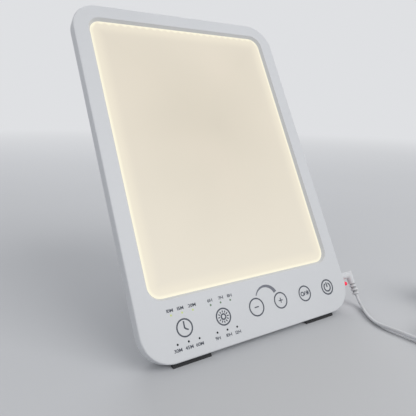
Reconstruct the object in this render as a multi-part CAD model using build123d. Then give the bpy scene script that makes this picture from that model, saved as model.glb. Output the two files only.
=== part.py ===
from build123d import *
import os
from math import atan, cos, degrees, pi, radians, sin, tan

# Light therapy lamp, in millimetres. It leans back on its stand, with its lit face towards -Y and +Z up.
# The origin is on the floor, under the middle of the lamp without its cord.
#
# The panel's pieces are modelled in the panel's own frame: x to the right from its centre line, y up the
# face from its bottom edge, and z out of the front face, so that everything behind the face has z < 0.
# The stand's leg has a frame of its own: the same directions when it is folded, from the hinge's axis.

# ---------------------------------------------------------------- driving dimensions: the panel
PANEL_WIDTH = 165.0
PANEL_HEIGHT = 238.0
CORNER_RADIUS = 19.0
SIDE_DEPTH = 7.5          # the straight side wall, which belongs to the front frame
COVER_DEPTH = 7.5         # the tapered back cover behind it
COVER_INSET = 4.6         # how far the cover tapers in on each side
WALL = 1.8                # side walls of the frame
FACE_THICKNESS = 2.0      # front plate of the frame
COVER_WALL = 1.6
FRONT_EDGE_ROUND = 0.8
BACK_EDGE_ROUND = 2.0
LEAN = 30.0               # degrees back from upright

# the window and the lit stack behind it
WINDOW_SIDE_MARGIN = 10.2
WINDOW_TOP_MARGIN = 9.8
CONTROL_STRIP = 35.8      # height of the face below the window
WINDOW_RADIUS = 9.5
WINDOW_DRAFT = 1.3        # how far the window's walls slope in on each side
RIM_HEIGHT = 0.4          # of the rim that the diffuser lies on, behind the front plate
RIM_WIDTH = 1.4
SHEET_OVERLAP = 2.5       # how far the sheets reach behind the rim
SHEET_CHAMFER = 6.0       # cut corners of the sheets
DIFFUSER_THICKNESS = 2.0
GUIDE_THICKNESS = 3.0
REFLECTOR_THICKNESS = 0.3

# LED boards along the guide's top and bottom edges
LED_COUNT = 24
LED_LENGTH = 3.0
LED_HEIGHT = 1.2
LED_BOARD_END_GAP = 0.8   # from the sheets' cut corners to the boards' ends
LED_BOARD_WIDTH = 4.4
LED_BOARD_THICKNESS = 1.0
LED_BOARD_RIBS = 5

# foam strips and the ribs that press on them
FOAM_THICKNESS = 0.7
FOAM_WIDTH = 6.0
FOAM_LENGTH = 165.0
FOAM_OFFSET = 46.0        # from the centre line
FOAM_START = 50.0
RIB_THICKNESS = 1.4

# lip, catches and vents of the back cover
LIP_RISE = 1.5            # of the lip into the frame
LIP_ROOT = 1.0            # of the lip into the cover
LIP_THICKNESS = 1.0
CATCH_LENGTH = 10.0
CATCH_DEPTH = 0.5
CATCH_HEIGHT = 0.7
CATCH_RISE = 0.4          # from the joint to the catches
TOP_CATCHES = [-50.0, 0.0, 50.0]
SIDE_CATCHES = [90.0, 180.0]
VENT_LENGTH = 11.0
VENT_WIDTH = 1.8
VENT_PITCH = 15.0
VENT_ROWS = [206.0, 212.0]
VENT_COLUMNS = 5

# icons, dots and what lies behind them
ICON_ROW = 18.2
ICON_LEFT_MARGIN = 28.2   # from the panel's left side to the first icon
ICON_RIGHT_MARGIN = 19.0  # from the last icon to the panel's right side
ICON_SHARES = [0.0, 0.231, 0.451, 0.625, 0.812, 1.0]  # of the way from the first icon to the last
DOT_RADIUS = 0.65
DOT_PITCH = 7.3
DOT_RISE = 8.4            # from the icon row to a row of dots
DOT_SHIFT = 0.6           # from an icon's middle to that of its dots
DOT_ICONS = 2             # the first two icons have dots above and below
DOT_CLEARANCE = 0.02      # round a light pipe in its hole
PIPE_FLANGE = 0.8         # thickness of a light pipe's flange
DOT_LED_SIZE = (1.6, 0.8, 0.6)
TOUCH_PAD_RADIUS = 4.0

# control board and what is on its back
BOARD_THICKNESS = 1.6
BOARD_STANDOFF = 4.8      # from the front plate to the board
BOARD_BOTTOM = 5.0
BOARD_GAP = 0.6           # from the board to the bosses and walls beside it
BOARD_WING_GAP = 1.7      # from the jack's wing to the side wall
POST_RADIUS = 2.2
POST_INSET = 3.5          # from the board's end
POST_DROP = 8.0           # from the board's top
LOW_POST_ICONS = [0, 4]   # the low posts stand midway between these icons and the next
CHIP_HEIGHT = 15.0        # up the panel
CHIP_DEPTH = 1.5
TOUCH_CHIP_INSET = 14.0   # from the board's left end
TOUCH_CHIP_SIZE = (9.0, 6.0)
DRIVER_CHIP_GAP = 0.6     # beside the middle post's screw
DRIVER_CHIP_SIZE = (5.0, 4.0)
INDUCTOR_SIZE = 7.0
INDUCTOR_DEPTH = 4.0
INDUCTOR_GAP = 2.2        # beside the middle post's screw
CAPACITOR_OFFSETS = [13.2, 21.2]  # from the middle post
CAPACITOR_RADIUS = 3.15
CAPACITOR_DEPTH = 4.4
LEFT_CONNECTOR_INSET = 18.0       # from the board's left end
RIGHT_CONNECTOR_GAP = 4.7         # from the jack
CONNECTOR_HEIGHT = 22.0   # up the panel
CONNECTOR_SIZE = (6.0, 5.0, 3.4)
LEAD_RADIUS = 0.6
LEAD_SPACING = 2.4
LEAD_DROP = 1.4           # from a connector's back to its leads
TOP_LEAD_BEND = 2.0
BOTTOM_LEAD_BEND = 1.2

# screws
CASE_SCREW_INSET = 15.5   # from the side edges
CASE_SCREW_HEIGHT = 10.4  # up the panel
CASE_SCREW_RADIUS = 1.2
CASE_SCREW_LENGTH = 6.0
CASE_HEAD_RADIUS = 2.0
CASE_HEAD_HEIGHT = 1.4
BOSS_RADIUS = 2.4
COVER_BOSS_RADIUS = 3.4
COUNTERBORE_DEPTH = 1.8
SCREW_PLAY = 0.2          # round a screw's shank and head in the piece that it clamps
BOARD_SCREW_RADIUS = 0.9
BOARD_SCREW_LENGTH = 4.6
BOARD_HEAD_RADIUS = 1.8
BOARD_HEAD_HEIGHT = 1.2
DRIVE_WIDTH = 0.5         # of the cross in a screw's head
DRIVE_DEPTH = 0.5
FIT = 0.05                # between pieces that fit together

# power inlet in the right side wall
JACK_HEIGHT = 22.0        # up the panel
JACK_DEPTH = 4.4          # behind the face
JACK_LENGTH = 11.0
JACK_WIDTH = 7.0
JACK_BACK_WALL = 0.8
JACK_PIN_RADIUS = 0.6
JACK_PIN_SHORTFALL = 1.0  # from the pin's tip to the jack's mouth
PLUG_BARREL_RADIUS = 1.75
PLUG_BARREL_LENGTH = 9.2
PLUG_BORE_RADIUS = 0.7
BARREL_PLAY = 0.1
INLET_RADIUS = 2.3
LIGHT_HEIGHT = 16.4       # the red power light, up the panel
LIGHT_DEPTH = 3.4         # behind the face
LIGHT_RADIUS = 1.5
LIGHT_PROUD = 5.0
LIGHT_BODY = 3.0          # inside the wall
LIGHT_FLANGE = 0.8
LIGHT_FLANGE_WIDTH = 0.4
LIGHT_LEG_SPACING = 1.8
LIGHT_LEG_WIDTH = 0.5
LIGHT_LEG_REACH = 1.6
LIGHT_CLEARANCE = 2.0     # from the light to the lip that is cut away for it

# the stand
HINGE_HEIGHT = 140.0      # up the panel
LEG_SLANT = 12.0          # degrees from upright when the lamp stands
LEG_WIDTH = 54.0
LEG_THICKNESS = 3.0
LEG_FLUSH = 0.1           # how far the folded leg lies below the cover's back
HEEL = 2.4                # the leg's end beyond the hinge's axis; its corner stops the leg
STOP_GAP = 0.06
KNUCKLE_WIDTH = 36.0
SHOULDER_DROP = 3.6       # from the axis down to the leg's full width
LEG_CORNER_RADIUS = 2.0
LEG_BORDER = 6.0          # round the pockets on the leg's inner face
LEG_RIB = 3.0             # between the pockets
LEG_POCKETS = 3
LEG_POCKET_DEPTH = 1.1
LEG_POCKET_RADIUS = 3.0
PIN_RADIUS = 0.8
PIN_PLAY = 0.06           # round the pin in the leg
PIN_GRIP = 0.03           # round the pin in the bracket
PIN_HEAD_RADIUS = 1.3
PIN_HEAD_LENGTH = 0.7
WASHER_THICKNESS = 0.45
BRACKET_THICKNESS = 1.0
BRACKET_LENGTH = 9.0
EAR_SETBACK = 4.0         # from the base's upper edge to the ears'
RECESS_GAP = 1.0          # around the leg
RECESS_WALL = 1.3
RECESS_RADIUS = 3.0
BRACKET_SCREW_SPACING = 22.0
BRACKET_SCREW_RADIUS = 1.05
BRACKET_SCREW_LENGTH = 3.0
BRACKET_HEAD_HEIGHT = 1.2
BRACKET_BOSS_RADIUS = 2.6
BRACKET_BOSS_HEIGHT = 0.6
FOOT_LENGTH = 8.0
FOOT_TIP = 3.0            # rubber beyond the leg's tongue
TONGUE_INSET = 4.0        # from the leg's sides to the tongue's
TONGUE_THICKNESS = 1.6
NOTCH_WIDTH = 22.0
NOTCH_LENGTH = 8.0
NOTCH_DEPTH = 3.0
NOTCH_RADIUS = 5.0

# rubber feet under the bottom edge
FEET_SPACING = 104.0
FRONT_FOOT_LENGTH = 26.0
FRONT_FOOT_WIDTH = 2.8
FOOT_POCKET = 0.6
FOOT_SETBACK = 0.4        # from the frame's back edge
FLOOR_GAP = 0.7           # from the frame's lowest edge to the floor

# DC plug and cord
PLUG_REACH = 11.1         # from the side wall to the middle of the plug's leg
PLUG_RADIUS = 2.6
PLUG_ARM_RADIUS = 2.5
PLUG_ELBOW_ROUND = 0.5    # of the leg's upper edge
PLUG_GAP = 0.4            # from the side wall
PLUG_TURN = 4.0           # degrees about the barrel, so that the leg leans out of the face
PLUG_TAPER = 0.1          # of the plug's leg
PLUG_LEG_END = 15.0       # up the panel, before the turn
RELIEF_END = 6.6
RELIEF_RIBS = 3
RELIEF_RIB_SHARE = 0.5    # of the ribs' pitch
RELIEF_RIB_STEP = 0.05    # a rib's radius over the next one's
RELIEF_START = 0.5        # from a relief's end to its first rib
RELIEF_WALL = 0.1         # round the cord
RELIEF_ROOT = 0.7         # from the plug's radius to the relief's
CORD_DIAMETER = 3.2
CORD_ROUTE = [            # from the plug to the coil
    (91.10, -58.647, 8.535),
    (91.10, -60.213, 6.214),
    (90.60, -62.90, 3.80),
    (88.75, -66.80, 2.40),
    (85.45, -72.00, 1.90),
    (81.25, -78.70, 1.80),
    (78.15, -86.50, 1.90),
    (77.05, -94.20, 2.20),
    (77.85, -101.00, 2.50),
    (79.35, -108.50, 2.60),
    (80.75, -116.30, 2.60),
    (80.95, -124.00, 2.70),
    (80.45, -131.00, 2.80),
    (80.35, -138.00, 3.00),
]
TAIL_ROUTE = [            # from the coil to the adaptor
    (90.97, -158.40, 8.00),
    (98.47, -163.72, 7.70),
    (110.73, -170.88, 7.30),
    (123.93, -176.06, 7.20),
    (134.96, -177.75, 7.70),
    (144.46, -176.41, 9.00),
    (151.95, -172.60, 10.60),
    (157.40, -166.75, 12.20),
    (160.25, -159.70, 13.50),
    (160.25, -152.50, 13.50),
]
COIL_CENTRE = (105.25, -138.0)
COIL_MIDDLE_RADIUS = 19.7
COIL_BAND = 13.6
COIL_HEIGHT = 10.4
COIL_LIFT = 0.9           # the tie's underside lies on the floor
TIE_ANGLE = 60.0
TIE_WIDTH = 8.0
TIE_THICKNESS = 0.8

# mains adaptor, lying on its front with its blades up
ADAPTER_CENTRE = (160.25, -111.0)
ADAPTER_LENGTH = 58.0
ADAPTER_WIDTH = 38.0
ADAPTER_DEPTH = 27.0
ADAPTER_SPLIT = 16.0      # height of the joint between its shells
ADAPTER_WALL = 2.0
ADAPTER_ROUND = 5.0
ADAPTER_EDGE_ROUND = 2.0
ADAPTER_RELIEF = 12.5
BLADE_WIDTH = 6.35
BLADE_THICKNESS = 1.5
BLADE_LENGTH = 17.5
BLADE_SPACING = 12.7
BLADE_INSET = 16.0        # from the adaptor's far end
BLADE_ROOT = 5.0
BLADE_CHAMFER = 0.5
BLADE_HOLE_RADIUS = 1.6
BLADE_HOLE_DROP = 5.0     # from a blade's tip
CORD_HOLE_RADIUS = 2.0
ADAPTER_BOARD_GAP = 0.3
TRANSFORMER_SIZE = (18.0, 20.0, 14.0)
TRANSFORMER_OFFSET = 4.0
TRANSFORMER_CHAMFER = 2.0

# ---------------------------------------------------------------- derived places
OPEN_ANGLE = LEAN + LEG_SLANT
BACK = -(SIDE_DEPTH + COVER_DEPTH)
COVER_INNER = BACK + COVER_WALL
COVER_SLOPE = degrees(atan(COVER_INSET / COVER_DEPTH))
WINDOW_DEPTH = FACE_THICKNESS + RIM_HEIGHT
WINDOW_SLOPE = degrees(atan(WINDOW_DRAFT / WINDOW_DEPTH))
WINDOW_WIDTH = PANEL_WIDTH - 2 * WINDOW_SIDE_MARGIN
WINDOW_HEIGHT = PANEL_HEIGHT - CONTROL_STRIP - WINDOW_TOP_MARGIN
WINDOW_MIDDLE = CONTROL_STRIP + WINDOW_HEIGHT / 2
SHEET_WIDTH = WINDOW_WIDTH + 2 * SHEET_OVERLAP
SHEET_HEIGHT = WINDOW_HEIGHT + 2 * SHEET_OVERLAP
SHEET_TOP = WINDOW_MIDDLE + SHEET_HEIGHT / 2
SHEET_BOTTOM = WINDOW_MIDDLE - SHEET_HEIGHT / 2
GUIDE_FRONT = -(WINDOW_DEPTH + DIFFUSER_THICKNESS)
GUIDE_BACK = GUIDE_FRONT - GUIDE_THICKNESS
STACK_BACK = GUIDE_BACK - REFLECTOR_THICKNESS
FOAM_BACK = STACK_BACK - FOAM_THICKNESS
BOARD_FRONT = -(FACE_THICKNESS + BOARD_STANDOFF)
BOARD_BACK = BOARD_FRONT - BOARD_THICKNESS
HINGE_DEPTH = BACK + LEG_THICKNESS / 2 + LEG_FLUSH
LEG_SWING = radians(OPEN_ANGLE)
HEEL_REACH = HEEL * sin(LEG_SWING) + LEG_THICKNESS / 2 * cos(LEG_SWING)
RECESS_FLOOR = HINGE_DEPTH + HEEL_REACH + STOP_GAP
EDGE_LIFT = SIDE_DEPTH * sin(radians(LEAN)) + FLOOR_GAP
HINGE_RISE = HINGE_HEIGHT * cos(radians(LEAN)) + HINGE_DEPTH * sin(radians(LEAN)) + EDGE_LIFT
LEG_LENGTH = HINGE_RISE / cos(radians(LEG_SLANT))
RECESS_TOP = HINGE_HEIGHT + SHOULDER_DROP + BRACKET_LENGTH + RECESS_GAP
RECESS_BOTTOM = HINGE_HEIGHT - LEG_LENGTH - RECESS_GAP
RECESS_HALF_WIDTH = LEG_WIDTH / 2 + RECESS_GAP + RECESS_WALL
RIGHT_WALL = PANEL_WIDTH / 2
JACK_MOUTH = RIGHT_WALL - WALL
LIGHT_WALL = SHEET_BOTTOM - LED_HEIGHT - LED_BOARD_THICKNESS
LED_BOARD_LENGTH = SHEET_WIDTH - 2 * SHEET_CHAMFER - 2 * LED_BOARD_END_GAP
LIP_FRONT = -SIDE_DEPTH + LIP_RISE
BOSS_END = BACK + COUNTERBORE_DEPTH + COVER_WALL
CASE_SCREW_PLACES = [(side * (PANEL_WIDTH / 2 - CASE_SCREW_INSET), CASE_SCREW_HEIGHT) for side in (-1, 1)]
BOARD_END = PANEL_WIDTH / 2 - CASE_SCREW_INSET - BOSS_RADIUS - BOARD_GAP
BOARD_TOP = LIGHT_WALL - RIB_THICKNESS - BOARD_GAP
WING_BOTTOM = LIGHT_HEIGHT - LIGHT_RADIUS - LIGHT_FLANGE_WIDTH
WING_END = JACK_MOUTH - BOARD_WING_GAP
MIDDLE_POST = RECESS_HALF_WIDTH + POST_INSET
FIRST_ICON = ICON_LEFT_MARGIN - PANEL_WIDTH / 2
ICON_SPAN = PANEL_WIDTH - ICON_LEFT_MARGIN - ICON_RIGHT_MARGIN
ICON_PLACES = [FIRST_ICON + share * ICON_SPAN for share in ICON_SHARES]
LOW_POSTS = [(ICON_PLACES[icon] + ICON_PLACES[icon + 1]) / 2 for icon in LOW_POST_ICONS]
POST_PLACES = [
    (POST_INSET - BOARD_END, BOARD_TOP - POST_DROP),
    (MIDDLE_POST, BOARD_TOP - POST_DROP / 2),
] + [(x, BOARD_BOTTOM + POST_RADIUS) for x in LOW_POSTS]
CONNECTOR_PLACES = [
    LEFT_CONNECTOR_INSET - BOARD_END,
    JACK_MOUTH - JACK_LENGTH - RIGHT_CONNECTOR_GAP - CONNECTOR_SIZE[0] / 2,
]
DOT_PLACES = [
    (ICON_PLACES[icon] + DOT_SHIFT + step * DOT_PITCH, ICON_ROW + side * DOT_RISE)
    for icon in range(DOT_ICONS)
    for side in (1, -1)
    for step in (-1, 0, 1)
]


# ---------------------------------------------------------------- helpers in the panel's frame
def rounded_slab(width, height, radius, middle, front, back):
    """A slab with rounded corners, centred across, from z = front back to z = back."""
    outline = Plane.XY.offset(front) * Pos(0, middle) * RectangleRounded(width, height, radius)
    return extrude(outline, amount=back - front)


def tapered_slab(width, height, radius, middle, front, back, slope):
    """A rounded slab that narrows towards its back, with walls that slope by so many degrees."""
    outline = Plane.XY.offset(front) * Pos(0, middle) * RectangleRounded(width, height, radius)
    return extrude(outline, amount=front - back, dir=(0, 0, -1), taper=slope)


def block(x_range, y_range, z_range):
    """A box between the given limits."""
    size = [high - low for low, high in (x_range, y_range, z_range)]
    middle = [(high + low) / 2 for low, high in (x_range, y_range, z_range)]
    return Pos(*middle) * Box(*size)


def post(place, radius, front, back):
    """A round post along z."""
    return Pos(place[0], place[1], (front + back) / 2) * Cylinder(radius, front - back)


def rod(radius, start, end, y, z):
    """A round rod along x."""
    return Pos((start + end) / 2, y, z) * Rot(0, 90, 0) * Cylinder(radius, end - start)


def screw(radius, length, head_radius, head_height):
    """A pan-head screw with its seat at z = 0, its shank up and its head below."""
    head = Pos(0, 0, -head_height / 2) * Cylinder(head_radius, head_height)
    head = fillet(head.edges().group_by(Axis.Z)[0], head_height / 3)
    slot = Box(head_radius, DRIVE_WIDTH, 2 * DRIVE_DEPTH)
    cross = Pos(0, 0, -head_height) * (slot + Rot(0, 0, 90) * slot)
    shank = Pos(0, 0, length / 2) * Cylinder(radius, length)
    shank = chamfer(shank.edges().group_by(Axis.Z)[-1], radius / 2)
    return head - cross + shank


# ---------------------------------------------------------------- panel housing
def front_frame():
    """White bezel: front plate with the window, side walls, rim, bosses, posts and ribs."""
    middle = PANEL_HEIGHT / 2
    body = rounded_slab(PANEL_WIDTH, PANEL_HEIGHT, CORNER_RADIUS, middle, 0, -SIDE_DEPTH)
    body = fillet(body.edges().group_by(Axis.Z)[-1], FRONT_EDGE_ROUND)
    inner = rounded_slab(PANEL_WIDTH - 2 * WALL, PANEL_HEIGHT - 2 * WALL, CORNER_RADIUS - WALL,
                         middle, -FACE_THICKNESS, -SIDE_DEPTH)
    rim = rounded_slab(WINDOW_WIDTH + 2 * RIM_WIDTH, WINDOW_HEIGHT + 2 * RIM_WIDTH,
                       WINDOW_RADIUS + RIM_WIDTH, WINDOW_MIDDLE, -FACE_THICKNESS, -WINDOW_DEPTH)
    opening = tapered_slab(WINDOW_WIDTH, WINDOW_HEIGHT, WINDOW_RADIUS, WINDOW_MIDDLE, 0, -WINDOW_DEPTH,
                           WINDOW_SLOPE)
    body = body - inner + rim - opening
    for place in CASE_SCREW_PLACES:
        body += post(place, BOSS_RADIUS, -FACE_THICKNESS, BOSS_END)
    for place in POST_PLACES:
        body += post(place, POST_RADIUS, -FACE_THICKNESS, BOARD_FRONT)
    body += led_board_ribs()
    for place in CASE_SCREW_PLACES:
        body -= post(place, CASE_SCREW_RADIUS + FIT, BACK + COUNTERBORE_DEPTH + CASE_SCREW_LENGTH, BOSS_END)
    for place in POST_PLACES:
        body -= post(place, BOARD_SCREW_RADIUS + FIT, BOARD_BACK + BOARD_SCREW_LENGTH, BOARD_FRONT)
    for place in DOT_PLACES:
        body -= post(place, DOT_RADIUS, 0, -FACE_THICKNESS)
    body -= rod(INLET_RADIUS, JACK_MOUTH, RIGHT_WALL, JACK_HEIGHT, -JACK_DEPTH)
    body -= rod(LIGHT_RADIUS + LIGHT_FLANGE_WIDTH + FIT, JACK_MOUTH - LIGHT_BODY, JACK_MOUTH,
                LIGHT_HEIGHT, -LIGHT_DEPTH)
    body -= rod(LIGHT_RADIUS + FIT, JACK_MOUTH, RIGHT_WALL, LIGHT_HEIGHT, -LIGHT_DEPTH)
    for side in (-1, 1):
        body -= foot_pocket(side)
    return body - catches(FIT)


def led_board_ribs():
    """Ribs behind the top LED board, and the wall that keeps light out of the control space."""
    board_back = SHEET_TOP + LED_HEIGHT + LED_BOARD_THICKNESS
    ribs = block((-LED_BOARD_LENGTH / 2, LED_BOARD_LENGTH / 2), (LIGHT_WALL - RIB_THICKNESS, LIGHT_WALL),
                 (GUIDE_BACK, -FACE_THICKNESS))
    for number in range(LED_BOARD_RIBS):
        x = (number + 0.5) / LED_BOARD_RIBS * LED_BOARD_LENGTH - LED_BOARD_LENGTH / 2
        ribs += block((x - RIB_THICKNESS / 2, x + RIB_THICKNESS / 2), (board_back, PANEL_HEIGHT - WALL),
                      (LIP_FRONT + FIT, -FACE_THICKNESS))
    return ribs


def catches(grow):
    """Catches on the cover's lip along the top and the sides, or, grown, the grooves that they snap into."""
    low = -SIDE_DEPTH + CATCH_RISE - grow
    high = -SIDE_DEPTH + CATCH_RISE + CATCH_HEIGHT + grow
    half = CATCH_LENGTH / 2 + grow
    reach = CATCH_DEPTH + grow
    inner = WALL + FIT + LIP_THICKNESS / 2
    outer = WALL - reach
    bumps = Part()
    for x in TOP_CATCHES:
        bumps += block((x - half, x + half), (PANEL_HEIGHT - inner, PANEL_HEIGHT - outer), (low, high))
    for y in SIDE_CATCHES:
        bumps += block((-RIGHT_WALL + outer, -RIGHT_WALL + inner), (y - half, y + half), (low, high))
        bumps += block((RIGHT_WALL - inner, RIGHT_WALL - outer), (y - half, y + half), (low, high))
    return bumps


def cover_shell(shrink, front, back):
    """The cover's tapered form, shrunk by a wall's thickness."""
    return tapered_slab(PANEL_WIDTH - 2 * shrink, PANEL_HEIGHT - 2 * shrink, CORNER_RADIUS - shrink,
                        PANEL_HEIGHT / 2, front, back, COVER_SLOPE)


def cover_lip():
    """The lip that locates the cover inside the frame, cut away at the jack and the power light."""
    outer = WALL + FIT
    inner = outer + LIP_THICKNESS
    middle = PANEL_HEIGHT / 2
    end = -SIDE_DEPTH - LIP_ROOT
    lip = rounded_slab(PANEL_WIDTH - 2 * outer, PANEL_HEIGHT - 2 * outer, CORNER_RADIUS - outer,
                       middle, LIP_FRONT, end)
    lip -= rounded_slab(PANEL_WIDTH - 2 * inner, PANEL_HEIGHT - 2 * inner, CORNER_RADIUS - inner,
                        middle, LIP_FRONT, end)
    low = LIGHT_HEIGHT - LIGHT_RADIUS - LIGHT_CLEARANCE
    high = JACK_HEIGHT + JACK_WIDTH / 2 + LIGHT_CLEARANCE
    return lip + catches(0) - block((0, PANEL_WIDTH), (low, high), (end, 0))


def recess_slab(grow, front, back):
    """The space of the folded leg and its bracket, grown by a wall."""
    width = LEG_WIDTH + 2 * RECESS_GAP + 2 * grow
    height = RECESS_TOP - RECESS_BOTTOM + 2 * grow
    return rounded_slab(width, height, RECESS_RADIUS + grow, (RECESS_TOP + RECESS_BOTTOM) / 2, front, back)


def finger_notch(grow, front, back):
    """The scoop below the leg's foot, where a finger lifts it."""
    return rounded_slab(NOTCH_WIDTH + 2 * grow, 2 * NOTCH_LENGTH + 2 * grow, NOTCH_RADIUS + grow,
                        RECESS_BOTTOM, front, back)


def vent_slots():
    """Rows of slots near the top that let the LED boards' warmth out."""
    slots = Part()
    for y in VENT_ROWS:
        for column in range(VENT_COLUMNS):
            x = (column - (VENT_COLUMNS - 1) / 2) * VENT_PITCH
            slots += Pos(x, y, BACK) * extrude(SlotOverall(VENT_LENGTH, VENT_WIDTH), amount=COVER_WALL)
    return slots


def back_cover():
    """Tapered back cover: recess for the leg, screw bosses, ribs on the foam and vents."""
    body = cover_shell(0, -SIDE_DEPTH, BACK)
    body = fillet(body.edges().group_by(Axis.Z)[0], BACK_EDGE_ROUND)
    body -= cover_shell(COVER_WALL, -SIDE_DEPTH, COVER_INNER)
    body += cover_lip()
    inside_wall = COVER_INNER - COVER_WALL / 2
    for side in (-1, 1):
        x = side * FOAM_OFFSET
        body += block((x - RIB_THICKNESS / 2, x + RIB_THICKNESS / 2), (FOAM_START, FOAM_START + FOAM_LENGTH),
                      (inside_wall, FOAM_BACK))
    body += recess_slab(RECESS_WALL, RECESS_FLOOR + RECESS_WALL, inside_wall)
    body += finger_notch(RECESS_WALL, BACK + NOTCH_DEPTH + RECESS_WALL, inside_wall)
    for place in CASE_SCREW_PLACES:
        body += post(place, COVER_BOSS_RADIUS, BOSS_END, inside_wall)
        body -= post(place, CASE_SCREW_RADIUS + SCREW_PLAY, BOSS_END, BACK)
        body -= post(place, CASE_HEAD_RADIUS + SCREW_PLAY, BACK + COUNTERBORE_DEPTH, BACK)
    body -= recess_slab(0, RECESS_FLOOR, BACK)
    body -= finger_notch(0, BACK + NOTCH_DEPTH, BACK)
    boss_top = RECESS_FLOOR + RECESS_WALL + BRACKET_BOSS_HEIGHT
    for place in bracket_screw_places():
        body += post(place, BRACKET_BOSS_RADIUS, boss_top, RECESS_FLOOR)
        body -= post(place, BRACKET_SCREW_RADIUS + FIT,
                     RECESS_FLOOR - BRACKET_THICKNESS + BRACKET_SCREW_LENGTH, RECESS_FLOOR)
    return body - vent_slots()


# ---------------------------------------------------------------- lit stack
def sheet(front, thickness):
    """One sheet of the lit stack, with cut corners."""
    outline = Plane.XY.offset(front) * Pos(0, WINDOW_MIDDLE) * Rectangle(SHEET_WIDTH, SHEET_HEIGHT)
    return extrude(chamfer(outline.vertices(), SHEET_CHAMFER), amount=-thickness)


def led_board(edge, outward):
    """A narrow board that faces the guide's edge; outward is 1 above the guide and -1 below it."""
    near = edge + outward * LED_HEIGHT
    far = near + outward * LED_BOARD_THICKNESS
    middle = (GUIDE_FRONT + GUIDE_BACK) / 2
    return block((-LED_BOARD_LENGTH / 2, LED_BOARD_LENGTH / 2), (min(near, far), max(near, far)),
                 (middle - LED_BOARD_WIDTH / 2, middle + LED_BOARD_WIDTH / 2))


def led_row(edge, outward):
    """The LEDs of one board, evenly spaced against the guide's edge."""
    pitch = LED_BOARD_LENGTH / LED_COUNT
    low, high = sorted((edge, edge + outward * LED_HEIGHT))
    leds = []
    for number in range(LED_COUNT):
        x = (number + 0.5) * pitch - LED_BOARD_LENGTH / 2
        leds.append(block((x - LED_LENGTH / 2, x + LED_LENGTH / 2), (low, high), (GUIDE_BACK, GUIDE_FRONT)))
    return leds


def foam_strips():
    """Two strips that press the reflector forward."""
    return [
        block((side * FOAM_OFFSET - FOAM_WIDTH / 2, side * FOAM_OFFSET + FOAM_WIDTH / 2),
              (FOAM_START, FOAM_START + FOAM_LENGTH), (FOAM_BACK, STACK_BACK))
        for side in (-1, 1)
    ]


# ---------------------------------------------------------------- controls
def control_board():
    """Board behind the control strip, with a wing at the right that carries the jack."""
    body = block((-BOARD_END, BOARD_END), (BOARD_BOTTOM, BOARD_TOP), (BOARD_BACK, BOARD_FRONT))
    body += block((0, WING_END), (WING_BOTTOM, BOARD_TOP), (BOARD_BACK, BOARD_FRONT))
    for place in POST_PLACES:
        body -= post(place, BOARD_SCREW_RADIUS + SCREW_PLAY, BOARD_FRONT, BOARD_BACK)
    return body


def touch_pads():
    """A conductive foam pad behind each icon."""
    return [post((x, ICON_ROW), TOUCH_PAD_RADIUS, -FACE_THICKNESS, BOARD_FRONT) for x in ICON_PLACES]


def indicator_leds():
    """A small LED on the board under each light pipe."""
    return [Pos(x, y, BOARD_FRONT + DOT_LED_SIZE[2] / 2) * Box(*DOT_LED_SIZE) for x, y in DOT_PLACES]


def indicator_pipes():
    """Clear pins that carry the indicators' light to the face."""
    pipes = []
    for place in DOT_PLACES:
        pin = post(place, DOT_RADIUS - DOT_CLEARANCE, 0, BOARD_FRONT + DOT_LED_SIZE[2])
        pipes.append(pin + post(place, 2 * DOT_RADIUS, -FACE_THICKNESS, -FACE_THICKNESS - PIPE_FLANGE))
    return pipes


def board_part(x, y, width, height, depth):
    """A component on the back of the control board, with eased back edges."""
    body = block((x - width / 2, x + width / 2), (y - height / 2, y + height / 2),
                 (BOARD_BACK - depth, BOARD_BACK))
    return fillet(body.edges().group_by(Axis.Z)[0], depth / 5)


def touch_chip():
    """The chip that reads the touch pads."""
    return board_part(TOUCH_CHIP_INSET - BOARD_END, CHIP_HEIGHT, *TOUCH_CHIP_SIZE, CHIP_DEPTH)


def led_driver_chip():
    """The chip that drives the LED boards."""
    x = MIDDLE_POST + BOARD_HEAD_RADIUS + DRIVER_CHIP_GAP + DRIVER_CHIP_SIZE[0] / 2
    return board_part(x, CHIP_HEIGHT, *DRIVER_CHIP_SIZE, CHIP_DEPTH)


def driver_inductor():
    """The driver's square inductor, above its chip."""
    x = MIDDLE_POST + BOARD_HEAD_RADIUS + INDUCTOR_GAP + INDUCTOR_SIZE / 2
    y = BOARD_TOP - BOARD_GAP - INDUCTOR_SIZE / 2
    return board_part(x, y, INDUCTOR_SIZE, INDUCTOR_SIZE, INDUCTOR_DEPTH)


def driver_capacitors():
    """Two can capacitors."""
    cans = []
    for offset in CAPACITOR_OFFSETS:
        place = (MIDDLE_POST + offset, CHIP_HEIGHT)
        can = post(place, CAPACITOR_RADIUS, BOARD_BACK, BOARD_BACK - CAPACITOR_DEPTH)
        cans.append(fillet(can.edges().group_by(Axis.Z)[0], CAPACITOR_RADIUS / 6))
    return cans


def lead_connectors():
    """Two plug connectors, one for each LED board's leads."""
    return [board_part(x, CONNECTOR_HEIGHT, *CONNECTOR_SIZE) for x in CONNECTOR_PLACES]


def board_leads(connector, end, contact, bend):
    """A red and a black lead, up from a connector and forward to an LED board's contacts."""
    z = BOARD_BACK - CONNECTOR_SIZE[2] + LEAD_DROP
    start = CONNECTOR_HEIGHT + CONNECTOR_SIZE[1] / 2
    leads = []
    for side in (-1, 1):
        x = connector + side * LEAD_SPACING / 2
        path = FilletPolyline((x, start, z), (x, end, z), (x, end, contact), radius=bend)
        section = Plane(origin=path @ 0, z_dir=path % 0) * Circle(LEAD_RADIUS)
        leads.append(sweep(section, path))
    return leads


def top_leads():
    """Leads from the right connector up to the back of the top LED board."""
    end = SHEET_TOP + LED_HEIGHT + LED_BOARD_THICKNESS + LEAD_RADIUS
    return board_leads(CONNECTOR_PLACES[1], end, (GUIDE_FRONT + GUIDE_BACK) / 2, TOP_LEAD_BEND)


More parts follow.
